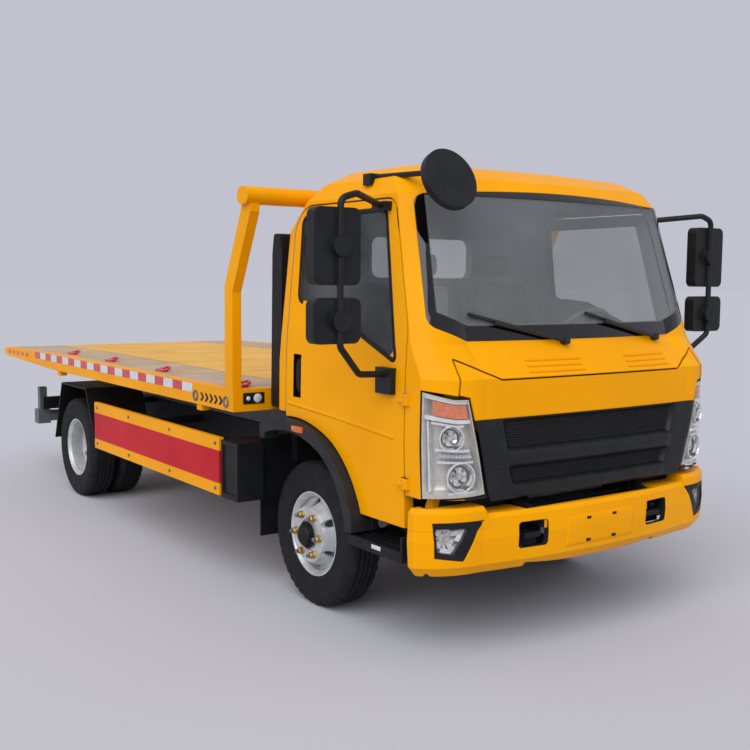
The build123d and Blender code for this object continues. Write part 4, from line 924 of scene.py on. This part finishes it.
def fog_lamp(side, sign):
    count = 72
    corners = [math.atan2(*(Vector(p) - FOG_MIDDLE).yx) for p in FOG_OUTER + FOG_LENS]
    angles = sorted([2 * math.pi * i / count - math.pi for i in range(count)] + corners)

    def ring(outline, depth, shrink=1.0):
        loop = []
        for angle in angles:
            near = [on_outline(outline, FOG_MIDDLE, angle + turn) for turn in FOG_SMOOTH]
            reach = min((sum((p - FOG_MIDDLE).length for p in near) / 5, (near[2] - FOG_MIDDLE).length))
            y, z = FOG_MIDDLE + (near[2] - FOG_MIDDLE).normalized() * reach * shrink
            loop.append(from_front(FOG_SKIN, sign * y, z) - Vector((depth, 0, 0)))
        return loop

    bm = bmesh.new()
    loops = [ring(FOG_OUTER, 0.030, 0.998), ring(FOG_OUTER, 0.001, 0.996), ring(FOG_LENS, 0.006)]
    add_loops(bm, loops + [ring(FOG_LENS, 0.032, 0.97)], caps=False)
    made = piece(f"fog_surround_{side}", bm, "chassis", "lamp_clear", "black_plastic", sharp=30.0)
    bm = bmesh.new()
    steps = ((0.030, 0.975), (0.038, 0.7), (0.046, 0.4), (0.042, 0.05))
    bowl = [ring(FOG_LENS, depth, share) for depth, share in steps]
    # The bowl's facets take bright and dark finishes in turn: painted reflections.
    add_facets(bm, [loop[::3] for loop in bowl], (0, 1, 0, 2, 0, 3, 1))
    add_loops(bm, [ring(FOG_LENS, 0.036, 0.16), ring(FOG_LENS, 0.024, 0.14), ring(FOG_LENS, 0.022, 0.02)], 1)
    piece(f"fog_bowl_{side}", bm, "chassis", "lamp_clear", *BOWL_PAINTED_REFLECTIONS, sharp=20.0)
    bm = bmesh.new()
    steps = ((0.012, 0.995), (0.009, 0.6), (0.008, 0.05))
    add_loops(bm, [ring(FOG_LENS, depth, share) for depth, share in steps], caps=False)
    lens = piece(f"fog_lens_{side}", bm, "chassis", "lamp_clear", "lamp_clear", sharp=60.0)
    thicken(lens, LENS_THICK)
    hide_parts("fog_lamps")


for lamp_side, lamp_sign in SIDES:
    fog_lamp(lamp_side, lamp_sign)
print("two fog lamps of three pieces")

# %% [markdown]
# ## Grille
# The grille is one dark moulding: two rounded bars stand proud of two sunk mesh panels and run out into
# the side blocks, which are split across the middle. The solid has the outline and plain pockets. We lay
# a sheet over it whose rows follow the bars and whose columns follow the slanting ends of the pockets,
# and move each point in or out by its place. A wire mesh made with the Wireframe modifier fills the panels.

# %% Grille
GRILLE_SKIN = skin_of("grille")
GRILLE_SIDE = ((0.722, 0.648), (0.764, 0.668), (1.0985, 0.751))
POCKET_END = ((0.722, 0.500), (0.797, 0.520), (0.868, 0.545), (0.950, 0.556), (1.0985, 0.592))
# height and how far the middle of the grille stands out there
GRILLE_RELIEF = (
    (0.724, -0.006), (0.730, 0.004), (0.740, 0.012), (0.755, 0.016), (0.770, 0.013), (0.782, 0.005),
    (0.790, -0.006), (0.795, -0.018), (0.799, -0.030), (0.830, -0.030), (0.862, -0.030), (0.868, -0.018),
    (0.873, -0.006), (0.881, 0.005), (0.893, 0.012), (0.910, 0.016), (0.926, 0.012), (0.939, 0.004),
    (0.948, -0.006), (0.954, -0.018), (0.959, -0.030), (1.020, -0.030), (1.082, -0.030), (1.088, -0.012),
    (1.092, 0.0), (1.097, 0.0),
)


def along(table, z):
    """Value at a height in a table of (height, value) rows."""
    for (z0, v0), (z1, v1) in zip(table, table[1:]):
        if z <= z1:
            return between(v0, v1, max(0.0, (z - z0) / (z1 - z0)))
    return table[-1][1]


def grille_base(y, z):
    """Grille front as if it had no pockets."""
    if abs(y) > 0.62:
        return from_front(GRILLE_SKIN, y, z)
    marks = (0.776, 0.910, 1.085)
    total = 0.0
    for k in marks:
        weight = math.prod((z - m) / (k - m) for m in marks if m != k)
        total += weight * from_front(GRILLE_SKIN, y, k).x
    return Vector((total, y, z))


def grille_sheet():
    bm = bmesh.new()
    rows = []
    for z, middle in GRILLE_RELIEF:
        side, end = along(GRILLE_SIDE, z), along(POCKET_END, z)
        block = [between(side, end + 0.012, i / 8) for i in range(9)]
        ramp = [end + 0.006, end, end - 0.006]
        half = block + ramp + [between(end - 0.012, 0.0, i / 24) for i in range(25)]
        row = []
        for y in half + [-y for y in reversed(half[:-1])]:
            share = min(1.0, max(0.0, (end + 0.012 - abs(y)) / 0.024))
            soft = share * share * (3 - 2 * share)
            row.append(grille_base(y, z) + Vector((middle * soft, 0, 0)))
        rows.append(row)
    add_sheet(bm, rows)
    made = piece("grille_moulding", bm, "front_flap", "black_plastic", "grey_plastic", sharp=50.0)
    thicken(made, 0.004)
    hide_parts("grille")


def grille_mesh():
    bm = bmesh.new()
    for z0, z1 in ((0.801, 0.860), (0.962, 1.080)):
        rows = []
        steps = round((z1 - z0) / 0.012)
        for j in range(steps + 1):
            z = between(z0, z1, j / steps)
            reach = along(POCKET_END, z) - 0.012
            across = [between(-reach, reach, i / 90) for i in range(91)]
            rows.append([grille_base(y, z) - Vector((0.022, 0, 0)) for y in across])
        add_sheet(bm, rows)
    made = piece("grille_mesh", bm, "front_flap", "black_plastic", "wiper_rubber", sharp=60.0)
    wire = made.modifiers.new("wire", "WIREFRAME")
    wire.thickness = 0.0035
    wire.use_replace = True


def grille_splits():
    bm = bmesh.new()
    for sign in (-1, 1):
        across = [sign * between(0.566, 0.685, i / 6) for i in range(7)]
        spots = [shot(GRILLE_SKIN, (4.0, y, 0.868), (-1, 0, 0)) for y in across]
        add_bead(bm, spots, 0.006, 0.0012)
    piece("grille_splits", bm, "front_flap", "black_plastic", "rubber_edge")


grille_sheet()
grille_mesh()
grille_splits()
print("grille of", len(GRILLE_RELIEF), "rows with two mesh panels")

# %% [markdown]
# ## Lines pressed into the panels
# The scuttle under the windscreen has two sets of three louvres, and a crease runs along each door. Both
# are pressed in the sheet on the real cab. Low rounded beads laid on the panels catch the light in the
# same way and stay part of the shape. The rubber round each door window is such a bead too, a wider one.

# %% Louvres, creases and seals
CAB_SKIN = skin_of("cab_shell", "front_flap")


def louvres():
    bm = bmesh.new()
    for y0, y1 in ((-0.430, -0.086), (0.226, 0.543)):
        for z in (1.300, 1.325, 1.350):
            spots = [shot(CAB_SKIN, (4.0, between(y0, y1, i / 12), z), (-1, 0, 0)) for i in range(13)]
            add_bead(bm, spots, 0.015, 0.007)
    piece("scuttle_louvres", bm, "cab", "body_paint", "body_paint", sharp=60.0)


def door_crease(side, sign):
    skin = skin_of(f"door_{side}")
    bm = bmesh.new()
    corners = [(-0.174, 1.062), (0.236, 1.039), (0.838, 0.992)]
    spots = []
    for (x0, z0), (x1, z1) in zip(corners, corners[1:]):
        for i in range(10):
            x, z = between(x0, x1, i / 10), between(z0, z1, i / 10)
            spots.append(from_side(skin, AXLE_F + x, z, sign))
    add_bead(bm, spots, 0.020, 0.004)
    piece(f"door_crease_{side}", bm, f"door_{side}", "body_paint", "body_paint", sharp=60.0)


WINDOW_LINE = ((-0.092, 1.604), (-0.112, 2.022), (0.598, 2.030), (0.764, 1.348), (0.170, 1.590))


def round_line(corners, near, steps=6):
    """Closed line through corners, each rounded from a distance before it to as far after it."""
    line = []
    count = len(corners)
    for i in range(count):
        before, here, after = (Vector(corners[(i + k) % count]) for k in (-1, 0, 1))
        a = here + (before - here).normalized() * near
        b = here + (after - here).normalized() * near
        for k in range(steps + 1):
            t = k / steps
            line.append(a * (1 - t) ** 2 + here * 2 * t * (1 - t) + b * t * t)
    return line


def window_seal(side, sign):
    skin = skin_of(f"door_{side}")
    middle = Vector((0.26, 1.76))
    grown = [Vector(p) + (Vector(p) - middle).normalized() * 0.014 for p in WINDOW_LINE]
    spots = []
    line = round_line(grown, 0.045)
    for a, b in zip(line, line[1:] + line[:2]):
        steps = max(1, round((b - a).length / 0.04))
        for k in range(steps):
            x, z = a + (b - a) * k / steps
            spots.append(from_side(skin, AXLE_F + x, z, sign))
    bm = bmesh.new()
    add_bead(bm, spots, 0.024, 0.005)
    piece(f"window_seal_{side}", bm, f"door_{side}", "black_plastic", "rubber_edge", sharp=60.0)


louvres()
for door_side, door_sign in SIDES:
    door_crease(door_side, door_sign)
    window_seal(door_side, door_sign)
print("louvres, creases and window seals laid")

# %% [markdown]
# ## Door handles and mirror glass
# The handle is a black grip that stands in the door's recess, and each mirror has a silvered pane on its
# rear face. Both are rounded boxes: the first one tapers, the second is thin.

# %% Handles and mirror glass
HANDLE_FOOT = 0.928
MIRROR_BACK = AXLE_F + 0.713
MIRROR_THICK = 0.005
MIRROR_MIDDLE = 1.270
# height of the middle, width and height of each pane
MIRROR_PANES = ((1.855, 0.200, 0.292), (1.533, 0.204, 0.160))


def door_handle(side, sign):
    bm = bmesh.new()
    loops = []
    for z, depth in ((1.125, 0.012), (1.150, 0.020), (1.210, 0.022), (1.270, 0.020), (1.297, 0.012)):
        x0, x1 = AXLE_F - 0.106, AXLE_F - 0.062
        y0 = sign * HANDLE_FOOT
        y1 = sign * (HANDLE_FOOT + depth)
        loops.append([(x0, y0, z), (x1, y0, z), (x1 - 0.006, y1, z), (x0 + 0.006, y1, z)])
    add_loops(bm, loops)
    piece(f"door_handle_{side}", bm, f"door_{side}", "black_plastic", "black_plastic", sharp=30.0)


def mirror_glass(side, sign):
    bm = bmesh.new()
    for z, wide, tall in MIRROR_PANES:
        mid = sign * MIRROR_MIDDLE
        low = (MIRROR_BACK, mid - wide / 2, z - tall / 2)
        high = (MIRROR_BACK + MIRROR_THICK, mid + wide / 2, z + tall / 2)
        add_box(bm, low, high, soft=0.002)
    piece(f"mirror_glass_{side}", bm, f"door_{side}", "window_glass", "polished_rod")


for door_side, door_sign in SIDES:
    door_handle(door_side, door_sign)
    mirror_glass(door_side, door_sign)
print("two handles and four mirror panes")

# %% [markdown]
# ## Tape, chevrons and the bed's front lamps
# Reflective tape runs along the upper half of the bed's edge in red and white squares. Film is thin, but
# a real sheet of it still has an edge, so each square is a slim box that stands a millimetre proud. At
# the front end a row of dark chevrons sits between two rings, a lamp panel looks ahead, and small guide
# blocks hang below the rail.

# %% Bed markings
BED_SIDE = 1.130
FILM = (BED_SIDE - 0.001, BED_SIDE + 0.0012)
TAPE_STEP = 0.134
TAIL_STEP, TAIL_SQUARE = 0.125, 0.055
RING_SECTION = (
    (0.019, -0.001), (0.019, 0.004), (0.023, 0.007), (0.030, 0.007), (0.033, 0.003), (0.033, -0.001),
)


def tape():
    bm = bmesh.new()
    for sign in (-1, 1):
        for i in range(22):
            start = AXLE_F - 0.975 - TAPE_STEP * i
            add_side_box(bm, sign, (start - TAPE_STEP, start), FILM, (1.050, 1.102), i % 2)
        for i in range(5):
            start = AXLE_F - 4.113 - TAIL_STEP * i
            add_side_box(bm, sign, (start - TAIL_SQUARE, start), FILM, (1.046, 1.076), 1)
    piece("bed_tape", bm, "bed", "bed_paint", "tape_white", "tape_red")


def chevrons():
    bm = bmesh.new()
    for sign in (-1, 1):
        y0, y1 = sign * (BED_SIDE - 0.001), sign * (BED_SIDE + 0.0015)
        for i in range(5):
            tip = AXLE_F - 0.830 + 0.058 * i
            outline = [(tip - 0.036, 1.012), (tip - 0.012, 1.012), (tip + 0.012, 1.036)]
            outline += [(tip - 0.012, 1.060), (tip - 0.036, 1.060), (tip - 0.012, 1.036)]
            add_loops(bm, [[(x, y, z) for x, z in outline] for y in (y0, y1)])
        for x in (AXLE_F - 0.925, AXLE_F - 0.545):
            out = facing_side(x, BED_SIDE, 1.036, sign)
            loops = []
            for i in range(33):
                a = 2 * math.pi * i / 32
                loops.append([out @ Vector((r * math.cos(a), r * math.sin(a), h)) for r, h in RING_SECTION])
            add_loops(bm, loops, 1, caps=False)
    bmesh.ops.remove_doubles(bm, verts=bm.verts, dist=1e-6)
    piece("bed_chevrons", bm, "bed", "bed_paint", "black_plastic", "grey_steel", sharp=30.0)


def bed_fittings():
    bm = bmesh.new()
    front = AXLE_F - 0.461
    for sign in (-1, 1):
        for x in (AXLE_F - 0.935, AXLE_F - 3.400):
            add_side_box(bm, sign, (x, x + 0.065), (1.065, 1.122), (0.950, 1.000), 2, 0.006)
        panel = (front - 0.002, front + 0.005)
        add_side_box(bm, sign, panel, (0.939, 1.070), (1.027, 1.089), 0, 0.002)
        for y, radius in ((0.982, 0.025), (1.040, 0.012)):
            here = facing_front(front + 0.005, sign * y, 1.058)
            dome = [(radius, 0.0), (radius, 0.003), (radius * 0.8, 0.006), (radius * 0.3, 0.008)]
            add_turned(bm, dome, here, 24, 1)
    piece("bed_fittings", bm, "bed", "bed_paint", "black_plastic", "lamp_white", "bed_paint", sharp=30.0)


tape()
chevrons()
bed_fittings()
print("tape squares, chevrons and front lamps on the bed")

# %% [markdown]
# ## Tie rings, rear lamps and small fittings
# Red D-shaped rings fold down on the deck, rope lies on the winch drum, the lamp bar at the tail has a red,
# an amber and a white lens on each side, and an amber marker sits on each arch trim. Bolts hold the
# skirts, a near-black plate closes each frame end behind the bumper's windows to paint the shade in
# there, and pale reflectors face ahead from the steps. The rope is a turned sleeve with one rib a turn,
# which reads as rope at any distance.


# %% Small fittings
ROPE_TURNS = 38
ROPE_PITCH = 0.010
ROPE_HALF = ROPE_TURNS * ROPE_PITCH / 2
SKIRT_SIDE = 1.130
PLATE_FRONT = AXLE_F + 1.035
SKIRT_BOLT = [(0.011, -0.001), (0.011, 0.003), (0.008, 0.006), (0.002, 0.007)]
PLATE_BOLT = [(0.010, -0.001), (0.010, 0.006), (0.008, 0.008)]
# outward spans of the red, amber and white lens
REAR_LENSES = ((0.905, 0.975), (0.832, 0.900), (0.768, 0.827))


def tie_rings():
    bm = bmesh.new()
    for x in (-0.62, -1.70, -2.60, -3.40):
        for sign in (-1, 1):
            here = Vector((AXLE_F + x, sign * 1.000, 1.112))
            loops = []
            for i in range(25):
                a = math.pi * i / 24
                c, s = math.cos(a), math.sin(a)
                mid = here + Vector((0.050 * c, -sign * 0.055 * s, 0.004 + 0.018 * s))
                out, up = Vector((c, -sign * s, 0.0)) * 0.008, Vector((0, 0, 0.008))
                ring = [2 * math.pi * k / 8 for k in range(8)]
                loops.append([mid + out * math.cos(b) + up * math.sin(b) for b in ring])
            add_loops(bm, loops)
            foot = (Vector((-0.065, -0.018, -0.004)), Vector((0.065, 0.018, 0.012)))
            add_box(bm, here + foot[0], here + foot[1], 0, 0.004)
    piece("tie_rings", bm, "bed", "bed_paint", "tape_red", sharp=40.0)


def winch_rope():
    """One layer of rope turns on the drum."""
    bm = bmesh.new()
    here = Matrix.Translation((AXLE_F - 0.665, 0, 1.224)) @ Matrix.Rotation(math.radians(-90), 4, "X")
    profile = []
    for i in range(ROPE_TURNS):
        y = ROPE_PITCH * i - ROPE_HALF
        profile += [(0.0795, y), (0.0835, y + 0.0025), (0.0850, y + 0.005), (0.0835, y + 0.0075)]
    add_turned(bm, profile + [(0.0795, ROPE_HALF)], here, 36)
    piece("winch_rope", bm, "bed", "grey_steel", "grey_steel", sharp=60.0)


def rear_lenses():
    bm = bmesh.new()
    back = AXLE_F - 4.250
    for sign in (-1, 1):
        for i, span in enumerate(REAR_LENSES):
            add_side_box(bm, sign, (back - 0.012, back + 0.002), span, (0.600, 0.680), i, 0.004)
    piece("rear_lenses", bm, "chassis", "lamp_red", "lamp_amber", "lamp_red", "lamp_white", sharp=30.0)


def markers():
    bm = bmesh.new()
    skin = skin_of("arch_trims")
    for sign in (-1, 1):
        face = abs(from_side(skin, AXLE_F + 0.010, 0.942, sign)[0].y)
        ends = (AXLE_F - 0.050, AXLE_F + 0.056)
        add_side_box(bm, sign, ends, (face - 0.020, face + 0.010), (0.926, 0.959), 0, 0.005)
    piece("arch_markers", bm, "cab", "grey_plastic", "lamp_amber", sharp=40.0)


def chassis_fittings():
    bm = bmesh.new()
    step_skin = skin_of("cab_steps")
    for sign in (-1, 1):
        for x in (-0.68, -1.30, -1.95, -2.53):
            for z in (0.535, 0.790):
                add_turned(bm, SKIRT_BOLT, facing_side(AXLE_F + x, SKIRT_SIDE, z, sign), 12)
        face = abs(from_side(step_skin, AXLE_F + 0.690, 0.472, sign)[0].y)
        ends = (AXLE_F + 0.655, AXLE_F + 0.725)
        add_side_box(bm, sign, ends, (face - 0.002, face + 0.004), (0.463, 0.482), 1, 0.0015)
        for i in range(9):
            x = AXLE_F + 0.470 + 0.048 * i
            top = shot(step_skin, (x, sign * 0.930, 1.0), (0, 0, -1))[0].z
            heights = (top - 0.001, top + 0.007)
            add_side_box(bm, sign, (x, x + 0.014), (0.870, face - 0.006), heights, 2, 0.002)
        # A near-black plate behind each hook window paints the shade in the frame end.
        plate = (PLATE_FRONT - 0.004, PLATE_FRONT)
        add_side_box(bm, sign, plate, (0.300, 0.575), (0.470, 0.640), 2, 0.001)
        for y in (0.470, 0.530):
            add_turned(bm, PLATE_BOLT, facing_front(PLATE_FRONT, sign * y, 0.560), 6)
    finishes = ("grey_steel", "tape_white", "black_and_shade")
    piece("chassis_fittings", bm, "chassis", "skirt_paint", *finishes, sharp=30.0)


repaint("side_guards", lambda place, normal: int(abs(place.y) < 1.085), "skirt_paint", "chassis_black")
repaint("rear_lamps", lambda place, normal: int(abs(place.y) < 0.758), "black_plastic", "grey_steel")
tie_rings()
winch_rope()
rear_lenses()
markers()
chassis_fittings()
print("small fittings placed")

# %% [markdown]
# ## The bare plate pad
# In the middle of the bumper a pad stands slightly proud for a number plate, with four slots. It follows
# the bumper's curve, so its grid is shot at the bumper and then given a thickness.

# %% Plate pad
BUMPER_SKIN = skin_of("front_bumper", "fog_lamps")


def plate_pad():
    bm = bmesh.new()
    rows = []
    for j in range(7):
        z = between(0.474, 0.612, j / 6)
        rows.append([from_front(BUMPER_SKIN, between(-0.228, 0.228, i / 24), z, 0.005) for i in range(25)])
    add_sheet(bm, rows)
    pad = thicken(piece("plate_pad", bm, "chassis", "body_paint", "body_paint", sharp=60.0), 0.006)
    soft = pad.modifiers.new("soft_edge", "BEVEL")
    soft.width = 0.0025
    soft.segments = 2
    bm = bmesh.new()
    for y in (-0.088, 0.088):
        for z in (0.487, 0.595):
            x = from_front(BUMPER_SKIN, y, z + 0.014).x
            add_box(bm, (x - 0.004, y - 0.014, z - 0.007), (x + 0.0085, y + 0.014, z + 0.007), 0, 0.003)
    piece("plate_slots", bm, "chassis", "body_paint", "rubber_edge")


plate_pad()
print("plate pad with four slots")

# %% [markdown]
# ## Seats
# Through the windscreen three seats show, the middle one under a pale cover. A seat is foam under cloth,
# so a plain block would look wrong even behind glass. Each cushion starts as a rounded block slightly
# smaller than it should end, is cut into even small faces by a voxel remesh, and is blown up by the cloth
# solver with no gravity. How far a point may move is capped, so the pads keep their places.

# %% Seat pads
# name, middle, width and finish of each seat
SEATS = (
    ("driver", 0.480, 0.500, "seat_cloth"),
    ("middle", -0.090, 0.420, "seat_cover"),
    ("right", -0.560, 0.480, "seat_cloth"),
)
PAD_SWELL = 0.022
PAD_PRESSURE = 4.0
PAD_STEPS = 20
PAD_GRID = 0.018


def swell(obj):
    """Blow a pad up with the cloth solver and keep the result as its mesh."""
    start = [v.co.copy() for v in obj.data.vertices]
    cloth = obj.modifiers.new("pressure", "CLOTH")
    cloth.settings.use_pressure = True
    cloth.settings.uniform_pressure_force = PAD_PRESSURE
    cloth.settings.effector_weights.gravity = 0.0
    scene = bpy.context.scene
    for step in range(PAD_STEPS):
        scene.frame_set(step + 1)
    graph = bpy.context.evaluated_depsgraph_get()
    blown = [v.co.copy() for v in obj.evaluated_get(graph).data.vertices]
    obj.modifiers.remove(cloth)
    scene.frame_set(1)
    for vertex, a, b in zip(obj.data.vertices, start, blown):
        move = b - a
        if move.length > PAD_SWELL:
            move *= PAD_SWELL / move.length
        vertex.co = a + move


def seat_pad(name, low, high, lean, mat):
    """Cushion between two corners, its top moved back by the lean."""
    bm = bmesh.new()
    add_box(bm, low, high, 0, 0.035)
    for vertex in bm.verts:
        vertex.co.x -= lean * (vertex.co.z - low[2]) / (high[2] - low[2])
    made = piece(name, bm, "cab", "seat_cloth", mat, sharp=60.0)
    even = made.modifiers.new("even", "REMESH")
    even.mode = "VOXEL"
    even.voxel_size = PAD_GRID
    graph = bpy.context.evaluated_depsgraph_get()
    mesh = bpy.data.meshes.new_from_object(made.evaluated_get(graph))
    made.modifiers.clear()
    made.data = mesh
    swell(made)
    mesh.shade_smooth()
    smooth = made.modifiers.new("smooth", "SUBSURF")
    smooth.levels = smooth.render_levels = 1
    return made


def seats():
    for name, y, wide, mat in SEATS:
        half = wide / 2 - 0.012
        base = (AXLE_F - 0.085, y - half, 1.070)
        cushion = seat_pad(f"seat_cushion_{name}", base, (AXLE_F + 0.355, y + half, 1.192), 0.0, mat)
        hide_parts("cab_seats")
        low, high = (AXLE_F - 0.108, y - half + 0.010, 1.160), (AXLE_F - 0.042, y + half - 0.010, 1.700)
        seat_pad(f"seat_back_{name}", low, high, 0.055, mat)
        low, high = (AXLE_F - 0.172, y - 0.110, 1.730), (AXLE_F - 0.118, y + 0.110, 1.868)
        seat_pad(f"seat_head_{name}", low, high, 0.006, mat)


seats()
print("nine seat pads")
